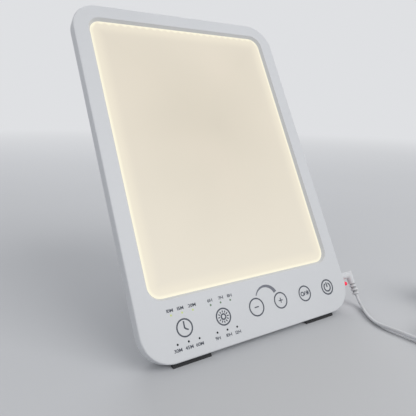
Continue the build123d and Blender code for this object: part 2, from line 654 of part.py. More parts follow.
def bottom_leads():
    """Leads from the left connector to the back edge of the bottom LED board."""
    contact = (GUIDE_FRONT + GUIDE_BACK - LED_BOARD_WIDTH) / 2
    return board_leads(CONNECTOR_PLACES[0], LIGHT_WALL + LED_BOARD_THICKNESS / 2, contact, BOTTOM_LEAD_BEND)


def board_screws():
    """Screws that hold the control board on its posts."""
    one = screw(BOARD_SCREW_RADIUS, BOARD_SCREW_LENGTH, BOARD_HEAD_RADIUS, BOARD_HEAD_HEIGHT)
    return [Pos(x, y, BOARD_BACK) * one for x, y in POST_PLACES]


def case_screws():
    """Screws that hold the back cover on the frame's bosses."""
    one = screw(CASE_SCREW_RADIUS, CASE_SCREW_LENGTH, CASE_HEAD_RADIUS, CASE_HEAD_HEIGHT)
    return [Pos(x, y, BACK + COUNTERBORE_DEPTH) * one for x, y in CASE_SCREW_PLACES]


# ---------------------------------------------------------------- power inlet
def dc_jack():
    """Jack body on the board's wing, with the round hole that takes the plug's barrel."""
    start = JACK_MOUTH - JACK_LENGTH
    body = block((start, JACK_MOUTH), (JACK_HEIGHT - JACK_WIDTH / 2, JACK_HEIGHT + JACK_WIDTH / 2),
                 (BOARD_FRONT, -FACE_THICKNESS - FIT))
    body -= rod(JACK_PIN_RADIUS, start + JACK_BACK_WALL, JACK_MOUTH, JACK_HEIGHT, -JACK_DEPTH)
    end = JACK_MOUTH - PLUG_BARREL_LENGTH - BARREL_PLAY
    return body - rod(PLUG_BARREL_RADIUS + BARREL_PLAY, end, JACK_MOUTH, JACK_HEIGHT, -JACK_DEPTH)


def dc_jack_pin():
    """The jack's centre contact."""
    return rod(JACK_PIN_RADIUS, JACK_MOUTH - JACK_LENGTH + JACK_BACK_WALL, JACK_MOUTH - JACK_PIN_SHORTFALL,
               JACK_HEIGHT, -JACK_DEPTH)


def power_light():
    """Red LED: body and flange inside the wall, domed lens through it, two legs down to the board."""
    start = JACK_MOUTH - LIGHT_BODY
    dome = RIGHT_WALL + LIGHT_PROUD - LIGHT_RADIUS
    lens = rod(LIGHT_RADIUS, start, dome, LIGHT_HEIGHT, -LIGHT_DEPTH)
    lens += Pos(dome, LIGHT_HEIGHT, -LIGHT_DEPTH) * Sphere(LIGHT_RADIUS)
    lens += rod(LIGHT_RADIUS + LIGHT_FLANGE_WIDTH, start, start + LIGHT_FLANGE, LIGHT_HEIGHT, -LIGHT_DEPTH)
    half = LIGHT_LEG_WIDTH / 2
    end = start - LIGHT_LEG_REACH
    for side in (-1, 1):
        y = LIGHT_HEIGHT + side * LIGHT_LEG_SPACING / 2
        lens += block((end, start), (y - half, y + half), (-LIGHT_DEPTH - half, -LIGHT_DEPTH + half))
        lens += block((end, end + LIGHT_LEG_WIDTH), (y - half, y + half), (BOARD_FRONT, -LIGHT_DEPTH))
    return lens


def plug_barrel():
    """The plug's metal barrel."""
    start = JACK_MOUTH - PLUG_BARREL_LENGTH
    end = RIGHT_WALL + PLUG_GAP
    return (rod(PLUG_BARREL_RADIUS, start, end, JACK_HEIGHT, -JACK_DEPTH)
            - rod(PLUG_BORE_RADIUS, start, end, JACK_HEIGHT, -JACK_DEPTH))


def plug_body():
    """Right-angle moulding: an arm out of the wall, a leg down the panel and a ribbed strain relief."""
    length = JACK_HEIGHT + PLUG_RADIUS - PLUG_LEG_END
    leg = Cone(PLUG_RADIUS - PLUG_TAPER, PLUG_RADIUS, length)
    leg = fillet(leg.edges().group_by(Axis.Z)[-1], PLUG_ELBOW_ROUND)
    upward = Rot(-90, 0, 0)
    body = Pos(0, PLUG_RADIUS - length / 2, 0) * upward * leg
    body += rod(PLUG_ARM_RADIUS, PLUG_GAP - PLUG_REACH, 0, 0, 0)
    body += Pos(0, RELIEF_END - JACK_HEIGHT, 0) * upward * strain_relief(PLUG_LEG_END - RELIEF_END)
    return Pos(RIGHT_WALL + PLUG_REACH, JACK_HEIGHT, -JACK_DEPTH) * Rot(-PLUG_TURN, 0, 0) * body


def strain_relief(length):
    """A ribbed sleeve that tapers down to the cord, from z = 0 at the cord's end up to z = length."""
    sleeve = Pos(0, 0, length / 2) * Cone(CORD_DIAMETER / 2 + RELIEF_WALL, PLUG_RADIUS - RELIEF_ROOT, length)
    pitch = length / RELIEF_RIBS
    rib = RELIEF_RIB_SHARE * pitch
    for number in range(RELIEF_RIBS):
        radius = PLUG_RADIUS - RELIEF_RIB_STEP * (RELIEF_RIBS - 1 - number)
        sleeve += Pos(0, 0, RELIEF_START + number * pitch + rib / 2) * Cylinder(radius, rib)
    return sleeve


# ---------------------------------------------------------------- stand, in the leg's frame
def stand_leg():
    """Flat leg: a knuckle on the hinge, a blade with shallow pockets inside, and a tongue for the foot."""
    half = LEG_THICKNESS / 2
    low = FOOT_LENGTH - LEG_LENGTH
    high = -SHOULDER_DROP
    knuckle = block((-KNUCKLE_WIDTH / 2, KNUCKLE_WIDTH / 2), (2 * high, HEEL), (-half, half))
    blade = rounded_slab(LEG_WIDTH, high - low, LEG_CORNER_RADIUS, (low + high) / 2, half, -half)
    foot_end = block((-LEG_WIDTH / 2, LEG_WIDTH / 2), (low, low + 2 * LEG_CORNER_RADIUS), (-half, half))
    side = LEG_WIDTH / 2 - TONGUE_INSET
    tongue = block((-side, side), (FOOT_TIP - LEG_LENGTH, low + LEG_CORNER_RADIUS),
                   (-TONGUE_THICKNESS / 2, TONGUE_THICKNESS / 2))
    body = knuckle + blade + foot_end + tongue
    pitch = (high - low - 2 * LEG_BORDER + LEG_RIB) / LEG_POCKETS
    for number in range(LEG_POCKETS):
        middle = low + LEG_BORDER + (number + 0.5) * pitch - LEG_RIB / 2
        body -= rounded_slab(LEG_WIDTH - 2 * LEG_BORDER, pitch - LEG_RIB, LEG_POCKET_RADIUS, middle,
                             half, half - LEG_POCKET_DEPTH)
    return body - rod(PIN_RADIUS + PIN_PLAY, -KNUCKLE_WIDTH / 2, KNUCKLE_WIDTH / 2, 0, 0)


def stand_foot():
    """Rubber boot over the leg's tongue, level with the floor when the lamp stands."""
    half = LEG_THICKNESS / 2
    top = -LEG_LENGTH + FOOT_LENGTH
    slope = tan(radians(LEG_SLANT))
    profile = Plane.YZ * Polygon(
        (top, -half), (top, half), (-LEG_LENGTH + half * slope, half), (-LEG_LENGTH - half * slope, -half),
        align=None)
    body = extrude(profile, amount=LEG_WIDTH / 2, both=True)
    side = LEG_WIDTH / 2 - TONGUE_INSET
    return body - block((-side, side), (FOOT_TIP - LEG_LENGTH, top),
                        (-TONGUE_THICKNESS / 2, TONGUE_THICKNESS / 2))


# ---------------------------------------------------------------- hinge, in the panel's frame
def washer_start():
    """The face of the knuckle's end, where the washer starts."""
    return KNUCKLE_WIDTH / 2 + FIT


def ear_start():
    """The inner face of the bracket's ears."""
    return washer_start() + WASHER_THICKNESS + FIT


def bracket_screw_places():
    """The bracket's two screws, above the hinge."""
    y = HINGE_HEIGHT + SHOULDER_DROP + BRACKET_LENGTH / 2
    return [(side * BRACKET_SCREW_SPACING / 2, y) for side in (-1, 1)]


def hinge_bracket():
    """Bent steel bracket: a base screwed into the recess and two ears that hold the pin."""
    outer = ear_start() + BRACKET_THICKNESS
    base_low = HINGE_HEIGHT + SHOULDER_DROP
    base_high = base_low + BRACKET_LENGTH
    floor = RECESS_FLOOR
    tip = HINGE_DEPTH - LEG_THICKNESS / 2
    body = block((-outer, outer), (base_low, base_high), (floor - BRACKET_THICKNESS, floor))
    for side in (-1, 1):
        low, high = sorted((side * ear_start(), side * outer))
        body += block((low, high), (HINGE_HEIGHT, base_high - EAR_SETBACK), (tip, floor))
        body += block((low, high), (HINGE_HEIGHT - LEG_THICKNESS / 2, HINGE_HEIGHT), (HINGE_DEPTH, floor))
        body += rod(LEG_THICKNESS / 2, low, high, HINGE_HEIGHT, HINGE_DEPTH)
        body -= rod(PIN_RADIUS + PIN_GRIP, low, high, HINGE_HEIGHT, HINGE_DEPTH)
    for place in bracket_screw_places():
        body -= post(place, BRACKET_SCREW_RADIUS + SCREW_PLAY, floor, floor - BRACKET_THICKNESS)
    return body


def hinge_pin():
    """Riveted steel pin through both ears and the leg's knuckle."""
    end = ear_start() + BRACKET_THICKNESS + FIT
    body = rod(PIN_RADIUS, -end, end, HINGE_HEIGHT, HINGE_DEPTH)
    for side in (-1, 1):
        low, high = sorted((side * end, side * (end + PIN_HEAD_LENGTH)))
        body += rod(PIN_HEAD_RADIUS, low, high, HINGE_HEIGHT, HINGE_DEPTH)
    return body


def friction_washers():
    """A washer between each ear and the knuckle, which gives the hinge its drag."""
    washers = []
    for side in (-1, 1):
        low, high = sorted((side * washer_start(), side * (washer_start() + WASHER_THICKNESS)))
        ring = rod(LEG_THICKNESS / 2 - FIT, low, high, HINGE_HEIGHT, HINGE_DEPTH)
        washers.append(ring - rod(PIN_RADIUS + PIN_GRIP, low, high, HINGE_HEIGHT, HINGE_DEPTH))
    return washers


def bracket_screws():
    """Two short screws that hold the bracket."""
    one = screw(BRACKET_SCREW_RADIUS, BRACKET_SCREW_LENGTH, CASE_HEAD_RADIUS, BRACKET_HEAD_HEIGHT)
    return [Pos(x, y, RECESS_FLOOR - BRACKET_THICKNESS) * one for x, y in bracket_screw_places()]


# ---------------------------------------------------------------- rubber feet
def foot_span():
    """The feet's front and back limits in z."""
    back = -SIDE_DEPTH + FOOT_SETBACK
    return back + FRONT_FOOT_WIDTH, back


def foot_pocket(side):
    """The shallow pocket in the bottom wall that holds one foot."""
    front, back = foot_span()
    x = side * FEET_SPACING / 2
    return block((x - FRONT_FOOT_LENGTH / 2, x + FRONT_FOOT_LENGTH / 2), (0, FOOT_POCKET), (back, front))


def front_feet():
    """Two rubber feet whose undersides lie flat on the floor when the lamp stands."""
    feet = []
    slope = tan(radians(LEAN))
    for side in (-1, 1):
        front, back = foot_span()
        drop_front = (EDGE_LIFT + front * sin(radians(LEAN))) / cos(radians(LEAN))
        drop_back = drop_front + (back - front) * slope
        profile = Plane.YZ * Polygon(
            (FOOT_POCKET, back), (FOOT_POCKET, front), (-drop_front, front), (-drop_back, back), align=None)
        foot = extrude(profile, amount=FRONT_FOOT_LENGTH / 2, both=True)
        feet.append(Pos(side * FEET_SPACING / 2, 0, 0) * foot)
    return feet


# ---------------------------------------------------------------- cord and adaptor, in the row's frame
def bend_radii(route):
    """The largest even bend at each inner point of a route."""
    points = [Vector(*point) for point in route]
    radii = []
    for before, corner, after in zip(points, points[1:], points[2:]):
        turn = radians((corner - before).get_angle(after - corner))
        shorter = min((corner - before).length, (after - corner).length)
        radii.append(0.45 * shorter / tan(turn / 2))
    return radii


def cord_tube(route):
    """A round tube along a route of straight runs and tangent bends."""
    radii = bend_radii(route)
    path = FilletPolyline(*route, radius=radii)
    section = Plane(origin=path @ 0, z_dir=path % 0) * Circle(CORD_DIAMETER / 2)
    tube = sweep(section, path)
    expected = pi * CORD_DIAMETER**2 / 4 * path.length
    print("cord bends", [round(radius, 1) for radius in radii], "volume", tube.volume / expected)
    return tube


def coil_ring(grow):
    """The coil's outer form, grown all round."""
    height = COIL_HEIGHT + 2 * grow
    ring = Cylinder(COIL_MIDDLE_RADIUS + COIL_BAND / 2 + grow, height)
    ring -= Cylinder(COIL_MIDDLE_RADIUS - COIL_BAND / 2 - grow, height)
    ring = fillet(ring.edges().filter_by(GeomType.CIRCLE), CORD_DIAMETER / 2 + grow)
    return Pos(*COIL_CENTRE, COIL_LIFT + COIL_HEIGHT / 2) * ring


def cord_tie():
    """A band round the coil's turns."""
    reach = COIL_MIDDLE_RADIUS + COIL_BAND
    slab = Pos(reach / 2, 0, 0) * Box(reach, TIE_WIDTH, 4 * COIL_HEIGHT)
    band = coil_ring(COIL_LIFT) - coil_ring(COIL_LIFT - TIE_THICKNESS)
    return band & (Pos(*COIL_CENTRE, 0) * Rot(0, 0, TIE_ANGLE) * slab)


def adapter_block(shrink, low, high):
    """The adaptor's outline, shrunk by a wall, between two heights."""
    outline = Plane.XY.offset(low) * Pos(*ADAPTER_CENTRE) * RectangleRounded(
        ADAPTER_WIDTH - 2 * shrink, ADAPTER_LENGTH - 2 * shrink, ADAPTER_ROUND - shrink)
    return extrude(outline, amount=high - low)


def relief_place():
    """The middle of the adaptor's near end, where the cord's strain relief stands."""
    return ADAPTER_CENTRE[0], ADAPTER_CENTRE[1] - ADAPTER_LENGTH / 2, ADAPTER_DEPTH / 2


def adapter_front_shell():
    """The deeper half of the adaptor's case, which lies on the floor."""
    body = adapter_block(0, 0, ADAPTER_SPLIT)
    body = fillet(body.edges().group_by(Axis.Z)[0], ADAPTER_EDGE_ROUND)
    body -= adapter_block(ADAPTER_WALL, ADAPTER_WALL, ADAPTER_SPLIT)
    x, y, z = relief_place()
    hole = Pos(x, y + ADAPTER_WALL / 2, z) * Rot(90, 0, 0) * Cylinder(CORD_HOLE_RADIUS, ADAPTER_WALL)
    slot = block((x - CORD_HOLE_RADIUS, x + CORD_HOLE_RADIUS), (y, y + ADAPTER_WALL), (z, ADAPTER_SPLIT))
    return body - hole - slot


def adapter_back_shell():
    """The half of the case that carries the blades."""
    body = adapter_block(0, ADAPTER_SPLIT + FIT, ADAPTER_DEPTH)
    body = fillet(body.edges().group_by(Axis.Z)[-1], ADAPTER_EDGE_ROUND)
    body -= adapter_block(ADAPTER_WALL, ADAPTER_SPLIT, ADAPTER_DEPTH - ADAPTER_WALL)
    for side in (-1, 1):
        x, y = blade_place(side)
        body -= block((x - BLADE_THICKNESS / 2, x + BLADE_THICKNESS / 2),
                      (y - BLADE_WIDTH / 2, y + BLADE_WIDTH / 2),
                      (ADAPTER_DEPTH - ADAPTER_WALL, ADAPTER_DEPTH))
    return body


def blade_place(side):
    """The middle of one blade."""
    return (ADAPTER_CENTRE[0] + side * BLADE_SPACING / 2,
            ADAPTER_CENTRE[1] + ADAPTER_LENGTH / 2 - BLADE_INSET)


def adapter_blades():
    """Two flat blades with round holes near their tips."""
    blades = []
    for side in (-1, 1):
        x, y = blade_place(side)
        top = ADAPTER_DEPTH + BLADE_LENGTH
        blade = block((x - BLADE_THICKNESS / 2, x + BLADE_THICKNESS / 2),
                      (y - BLADE_WIDTH / 2, y + BLADE_WIDTH / 2),
                      (ADAPTER_DEPTH - BLADE_ROOT, top))
        blade = chamfer(blade.edges().group_by(Axis.Z)[-1], BLADE_CHAMFER)
        hole = Pos(x, y, top - BLADE_HOLE_DROP) * Rot(0, 90, 0) * Cylinder(BLADE_HOLE_RADIUS, BLADE_THICKNESS)
        blades.append(blade - hole)
    return blades


def adapter_board():
    """The adaptor's board, against the blades' roots."""
    high = ADAPTER_DEPTH - BLADE_ROOT
    return adapter_block(ADAPTER_WALL + ADAPTER_BOARD_GAP, high - BOARD_THICKNESS, high)


def adapter_transformer():
    """The transformer under the board."""
    width, length, height = TRANSFORMER_SIZE
    top = ADAPTER_DEPTH - BLADE_ROOT - BOARD_THICKNESS
    place = Pos(ADAPTER_CENTRE[0], ADAPTER_CENTRE[1] - TRANSFORMER_OFFSET, top - height / 2)
    return chamfer((place * Box(width, length, height)).edges().filter_by(Axis.Z), TRANSFORMER_CHAMFER)


def adapter_relief():
    """Ribbed strain relief out of the adaptor's near end."""
    x, y, z = relief_place()
    return Pos(x, y - ADAPTER_RELIEF, z) * Rot(-90, 0, 0) * strain_relief(ADAPTER_RELIEF)


# ---------------------------------------------------------------- standing the panel up
def leaning(shape):
    """A shape of the panel's frame, leaned back over the floor."""
    tilt = radians(LEAN)
    return Plane(origin=(0, 0, EDGE_LIFT), x_dir=(1, 0, 0), z_dir=(0, -cos(tilt), sin(tilt))).location * shape


def open_leg(shape):
    """A shape of the leg's frame, opened against its stop, in the panel's frame."""
    return Pos(0, HINGE_HEIGHT, HINGE_DEPTH) * Rot(OPEN_ANGLE, 0, 0) * shape


def as_solids(shapes):
    """One compound of a piece or of a group of separate pieces."""
    pieces = shapes if isinstance(shapes, list) else [shapes]
    return Compound([solid for piece in pieces for solid in piece.solids()])


def panel_nodes():
    """Every piece that is fixed to the panel."""
    return {
        "front_frame": front_frame(),
        "back_cover": back_cover(),
        "diffuser_panel": sheet(-WINDOW_DEPTH, DIFFUSER_THICKNESS),
        "light_guide": sheet(GUIDE_FRONT, GUIDE_THICKNESS),
        "reflector_sheet": sheet(GUIDE_BACK, REFLECTOR_THICKNESS),
        "led_board_top": led_board(SHEET_TOP, 1),
        "led_board_bottom": led_board(SHEET_BOTTOM, -1),
        "leds_top": led_row(SHEET_TOP, 1),
        "leds_bottom": led_row(SHEET_BOTTOM, -1),
        "foam_strips": foam_strips(),
        "control_board": control_board(),
        "touch_pads": touch_pads(),
        "indicator_leds": indicator_leds(),
        "indicator_light_pipes": indicator_pipes(),
        "touch_chip": touch_chip(),
        "led_driver_chip": led_driver_chip(),
        "driver_inductor": driver_inductor(),
        "driver_capacitors": driver_capacitors(),
        "lead_connectors": lead_connectors(),
        "top_board_leads": top_leads(),
        "bottom_board_leads": bottom_leads(),
        "board_screws": board_screws(),
        "case_screws": case_screws(),
        "dc_jack": dc_jack(),
        "dc_jack_pin": dc_jack_pin(),
        "power_light": power_light(),
        "front_feet": front_feet(),
        "hinge_bracket": hinge_bracket(),
        "hinge_pin": hinge_pin(),
        "friction_washers": friction_washers(),
        "bracket_screws": bracket_screws(),
    }


def leg_nodes():
    """The pieces that swing on the hinge."""
    return {"stand_leg": stand_leg(), "stand_foot": stand_foot()}


def plug_nodes():
    """The plug in the side wall, which belongs to the cord."""
    return {"plug_body": plug_body(), "plug_barrel": plug_barrel()}


def cord_nodes():
    """The free cord and what is on it beyond the plug."""
    return {
        "power_cord": cord_tube(CORD_ROUTE),
        "cord_coil": coil_ring(0),
        "cord_tie": cord_tie(),
        "cord_tail": cord_tube(TAIL_ROUTE),
        "adapter_relief": adapter_relief(),
        "adapter_front_shell": adapter_front_shell(),
        "adapter_back_shell": adapter_back_shell(),
        "adapter_blades": adapter_blades(),
        "adapter_board": adapter_board(),
        "adapter_transformer": adapter_transformer(),
    }


def build():
    """All nodes, standing on the floor with the origin under the middle of the lamp."""
    lamp = {name: leaning(as_solids(shape)) for name, shape in panel_nodes().items()}
    lamp |= {name: leaning(open_leg(as_solids(shape))) for name, shape in leg_nodes().items()}
    box = Compound([solid for shape in lamp.values() for solid in shape.solids()]).bounding_box()
    home = Pos(-box.center().X, -box.center().Y, 0)
    print("lamp box", box.min, box.max)
    plug = {name: leaning(as_solids(shape)) for name, shape in plug_nodes().items()}
    nodes = {name: home * shape for name, shape in (lamp | plug).items()}
    return nodes | {name: as_solids(shape) for name, shape in cord_nodes().items()}


if __name__ == "__main__":
    os.makedirs("parts", exist_ok=True)
    for name, shape in build().items():
        export_step(shape, f"parts/{name}.step")
        size = shape.bounding_box()
        print(name, len(shape.solids()), round(shape.volume, 2), size.min, size.max)
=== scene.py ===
# %% [markdown]
# # A light therapy lamp, from CAD model to studio picture
# The lamp is a slim white panel that leans back on a hinged stand. A lit opal sheet fills its front,
# six touch icons are printed below it, and a thin twin lead plugs into its right side. The shapes of
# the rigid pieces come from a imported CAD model. Blender adds what CAD leaves out: the print, the light,
# the soft lead and the finishes. Everything is in metres, in the CAD model's own frame, so that each
# piece goes where the model says.

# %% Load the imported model
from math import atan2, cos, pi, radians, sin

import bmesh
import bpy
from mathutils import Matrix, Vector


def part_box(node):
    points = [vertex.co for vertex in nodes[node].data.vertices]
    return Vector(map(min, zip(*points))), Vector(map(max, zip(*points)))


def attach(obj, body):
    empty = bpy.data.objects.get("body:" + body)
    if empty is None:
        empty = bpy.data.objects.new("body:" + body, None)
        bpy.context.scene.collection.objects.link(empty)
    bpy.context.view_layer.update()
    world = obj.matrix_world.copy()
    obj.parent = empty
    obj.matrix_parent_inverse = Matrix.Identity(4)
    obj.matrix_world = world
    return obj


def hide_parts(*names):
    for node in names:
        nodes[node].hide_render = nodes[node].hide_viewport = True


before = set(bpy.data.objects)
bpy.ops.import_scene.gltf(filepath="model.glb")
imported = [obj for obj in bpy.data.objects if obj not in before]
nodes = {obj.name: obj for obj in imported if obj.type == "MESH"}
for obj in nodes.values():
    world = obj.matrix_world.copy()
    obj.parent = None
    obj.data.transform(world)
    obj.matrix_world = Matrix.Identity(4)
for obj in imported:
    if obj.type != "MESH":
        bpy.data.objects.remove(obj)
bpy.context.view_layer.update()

# %% [markdown]
# ## What the model holds
# A node is one piece of the CAD model, and a body is what moves as one. This lamp has two bodies: the
# panel, and the stand that folds into its back. Nothing that Blender adds may make the lamp bigger.

MM = 0.001

# %% [markdown]
# ## The camera
# The lamp is looked at from its front left, a little above it, and from near by, so that the near side
# is drawn larger than the far side. A camera object can be turned with angles or with a matrix. Three
# turns, one after the other, keep each angle readable: round the upright, then tilted up from the
# floor, then rolled.

# %% Place the camera
EYE = Vector((-0.1693, -0.25575, 0.1474))
HEADING, TILT, ROLL = radians(-32.38), radians(76.42), radians(1.297)
LENS = 37.47


def new_object(name, data):
    """A new object in the scene, from its data."""
    piece = bpy.data.objects.new(name, data)
    bpy.context.scene.collection.objects.link(piece)
    return piece


camera_data = bpy.data.cameras.new("camera")
camera_data.lens = LENS
camera = new_object("camera", camera_data)
camera.matrix_world = (
    Matrix.Translation(EYE) @ Matrix.Rotation(HEADING, 4, "Z")
    @ Matrix.Rotation(TILT, 4, "X") @ Matrix.Rotation(ROLL, 4, "Z")
)
bpy.context.scene.camera = camera
print("camera looks along", [round(v, 3) for v in camera.matrix_world.to_3x3() @ Vector((0, 0, -1))])

# %% [markdown]
# ## The lead's route
# The lead is one length of soft twin cable: it leaves the plug, drops to the floor, wanders to a neat
# coil that is held by a strap, and goes on to the mains adaptor. A curve made of straight runs and arcs
# would look like bent wire. A NURBS spline with a few control points bends smoothly everywhere, as soft
# vinyl does, so the route and the turns of the coil are all control points of one spline.

# %% List the control points, in millimetres
LEAD_OUT = [
    (91.10, -58.647, 8.535), (91.10, -60.213, 6.214), (90.60, -62.90, 3.80), (88.75, -66.80, 2.40),
    (85.45, -72.00, 1.90), (81.25, -78.70, 1.80), (78.15, -86.50, 1.90), (77.05, -94.20, 2.20),
    (77.85, -101.00, 2.50), (79.35, -108.50, 2.60), (80.75, -116.30, 2.60), (80.95, -124.00, 2.70),
    (80.45, -131.00, 2.80),
]
LEAD_TAIL = [
    (98.47, -163.72, 7.70), (110.73, -170.88, 7.30), (123.93, -176.06, 7.20), (134.96, -177.75, 7.70),
    (144.46, -176.41, 9.00), (151.95, -172.60, 10.60), (157.40, -166.75, 12.20), (160.25, -159.70, 13.50),
    (160.25, -152.50, 13.50),
]
COIL_CENTRE = (105.25, -138.0)
COIL_OUTER, COIL_INNER = 24.9, 14.5
LOWER_LAYER, UPPER_LAYER = 3.2, 8.0
LAYER_TURNS, POINTS_PER_TURN = 5, 16
COIL_START, COIL_END = 180, 235


def coil_points():
    """The coil's control points: inwards along the lower layer, then outwards along the upper one."""
    step = 360 / POINTS_PER_TURN
    whole = 2 * LAYER_TURNS * POINTS_PER_TURN
    count = round(whole + (COIL_END - COIL_START) / step)
    spare = COIL_END - COIL_START - (count - whole) * step
    points = []
    for number in range(count + 1):
        turns = number / POINTS_PER_TURN
        angle = radians(COIL_START + turns * 360 + spare * number / count)
        inward = min(turns, max(0, 2 * LAYER_TURNS - turns))
        radius = COIL_OUTER - (COIL_OUTER - COIL_INNER) * inward / LAYER_TURNS
        climb = min(1, max(0, turns - LAYER_TURNS + 0.5))
        height = LOWER_LAYER + (UPPER_LAYER - LOWER_LAYER) * climb
        x, y = COIL_CENTRE[0] + radius * cos(angle), COIL_CENTRE[1] + radius * sin(angle)
        points.append((x, y, height))
    return points


route = LEAD_OUT + coil_points() + LEAD_TAIL
print("control points:", len(route))

# %% [markdown]
# ## Reading the smooth line
# The spline's order is 3, which makes it smooth, and its end point switch makes it start at the plug
# and end at the adaptor. Both are set after the points are added. Turning the curve into a mesh with no
# bevel gives the points along its line, and the lead is then built round them.

# %% Make the spline and read its line
LINE_DETAIL = 6

route_curve = bpy.data.curves.new("lead_route", "CURVE")
route_curve.dimensions = "3D"
route_curve.resolution_u = LINE_DETAIL
spline = route_curve.splines.new("NURBS")
spline.points.add(len(route) - 1)
for point, place in zip(spline.points, route):
    point.co = (*[value * MM for value in place], 1)
spline.order_u = 3
spline.use_endpoint_u = True
route_object = bpy.data.objects.new("lead_route", route_curve)
line_mesh = bpy.data.meshes.new_from_object(route_object)
lead_line = [vertex.co.copy() for vertex in line_mesh.vertices]
bpy.data.objects.remove(route_object)
lead_length = sum((b - a).length for a, b in zip(lead_line, lead_line[1:]))
print("lead:", len(lead_line), "points,", round(lead_length, 3), "m long")

# %% [markdown]
# ## The twin lead
# The cable is two round insulated wires side by side, with a groove between them. Its section is drawn
# once, as two arcs, and carried along the line. Near the plug the two wires lie one behind the other as
# seen from the front left, so that the lead looks thin there. Then it twists until its flat side is
# upright, so that the coil's turns lie close. Sweeping our own section gives that control over the
# twist, which a curve's bevel doesn't.

# %% Draw the twin section
WIRE_RADIUS = 1.05 * MM
WIRE_SPACING = 1.95 * MM
ARC_STEPS = 9


def twin_section():
    """Points of the two wires' outline, as (across, through) pairs in metres."""
    groove = atan2((WIRE_RADIUS ** 2 - (WIRE_SPACING / 2) ** 2) ** 0.5, -WIRE_SPACING / 2)
    outline = []
    for side in (1, -1):
        for step in range(ARC_STEPS):
            angle = -groove + 2 * groove * step / (ARC_STEPS - 1)
            across, through = WIRE_SPACING / 2 + WIRE_RADIUS * cos(angle), WIRE_RADIUS * sin(angle)
            outline.append((side * across, side * through))
    return outline


section = twin_section()


# %% A sweep along a line
def made(name, build, smooth=True):
    """Turns a mesh in the making into an object in the scene."""
    mesh = bpy.data.meshes.new(name)
    build.to_mesh(mesh)
    build.free()
    if smooth:
        mesh.polygons.foreach_set("use_smooth", [True] * len(mesh.polygons))
    return new_object(name, mesh)


def sweep(name, line, section, across_at):
    """A tube whose section follows a line. across_at gives its wide direction after a length."""
    build = bmesh.new()
    rings, gone = [], 0.0
    for number, place in enumerate(line):
        before, after = line[max(0, number - 1)], line[min(len(line) - 1, number + 1)]
        gone += (place - before).length
        along = (after - before).normalized()
        wide = across_at(gone)
        across = (wide - along * wide.dot(along)).normalized()
        through = along.cross(across)
        rings.append([build.verts.new(place + across * a + through * b) for a, b in section])
    for ring, following in zip(rings, rings[1:]):
        for corner in range(len(section)):
            beside = (corner + 1) % len(section)
            build.faces.new((ring[corner], ring[beside], following[beside], following[corner]))
    build.faces.new(rings[0][::-1])
    build.faces.new(rings[-1])
    bmesh.ops.recalc_face_normals(build, faces=build.faces)
    return made(name, build)


# %% Make the lead
EDGE_ON = Vector((0.735, 0.54, -0.41))
UPRIGHT = Vector((0, 0, -1))
TWIST_START, TWIST_END = 34 * MM, 48 * MM


def lead_turn(gone):
    """The section's wide direction: edge-on near the plug, upright from the end of the twist on."""
    share = min(1, max(0, (gone - TWIST_START) / (TWIST_END - TWIST_START)))
    return EDGE_ON.lerp(UPRIGHT, share * share * (3 - 2 * share))


lead = sweep("twin_lead", lead_line, section, lead_turn)
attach(lead, "panel")
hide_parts("power_cord", "cord_coil", "cord_tail")
print("lead's mesh:", len(lead.data.polygons), "faces,", round(2 * WIRE_RADIUS / MM, 2), "mm thick")

# %% [markdown]
# ## Finishes from nodes
# A material here is a small graph of nodes round one Principled shader. A number that is the same all
# over goes straight on the shader, and only what varies over the surface is wired in. The texture
# coordinates are the object's own, which are metres in the lamp's frame, so a grain is given by its
# real size.

# %% A material and its coordinates
def new_material(name, roughness, **numbers):
    """A material with its Principled shader, and its node tree."""
    material = bpy.data.materials.new(name)
    material.use_nodes = True
    tree = material.node_tree
    shader = tree.nodes["Principled BSDF"]
    shader.inputs["Roughness"].default_value = roughness
    for socket, value in numbers.items():
        shader.inputs[socket.replace("_", " ")].default_value = value
    return material, tree, shader


def place_in(tree, **changes):
    """The surface's own coordinates in metres. Changes go on the Mapping node's sockets."""
    coordinates = tree.nodes.new("ShaderNodeTexCoord")
    mapping = tree.nodes.new("ShaderNodeMapping")
    for socket, value in changes.items():
        mapping.inputs[socket].default_value = value
    tree.links.new(coordinates.outputs["Object"], mapping.inputs["Vector"])
    return mapping.outputs["Vector"]


# %% [markdown]
# ## Noise into colour, gloss and relief
# Noise gives a number at each point, which seldom leaves the range from 0.3 to 0.7. A colour ramp turns
# it into a colour, a Map Range node into a value between two others, and a Bump node into relief. With
# a short function for each, a finish reads as a list of what varies on it.

# %% Noise, colours, ranges and relief
NOISE_LOW, NOISE_HIGH = 0.3, 0.7


def noise(tree, vector, size, detail=3.0):
    """Noise whose features are about size metres across."""
    texture = tree.nodes.new("ShaderNodeTexNoise")
    texture.inputs["Scale"].default_value = 1 / size
    texture.inputs["Detail"].default_value = detail
    tree.links.new(vector, texture.inputs["Vector"])
    return texture.outputs["Fac"]


def ramp(tree, factor, stops):
    """A colour ramp from (position, colour) stops."""
    node = tree.nodes.new("ShaderNodeValToRGB")
    band = node.color_ramp
    while len(band.elements) < len(stops):
        band.elements.new(1.0)
    for element, (position, colour) in zip(band.elements, stops):
        element.position = position
        element.color = (*colour, 1)
    tree.links.new(factor, node.inputs["Fac"])
    return node.outputs["Color"]


def drift_between(tree, factor, low, high):
    """A colour that drifts between two with a noise."""
    return ramp(tree, factor, [(NOISE_LOW, low), (NOISE_HIGH, high)])


def between(tree, factor, low, high, start=0.0, end=1.0, curve="LINEAR"):
    """A value that goes from low to high while the factor goes from start to end."""
    node = tree.nodes.new("ShaderNodeMapRange")
    node.interpolation_type = curve
    for socket, value in (("From Min", start), ("From Max", end), ("To Min", low), ("To Max", high)):
        node.inputs[socket].default_value = value
    tree.links.new(factor, node.inputs["Value"])
    return node.outputs["Result"]


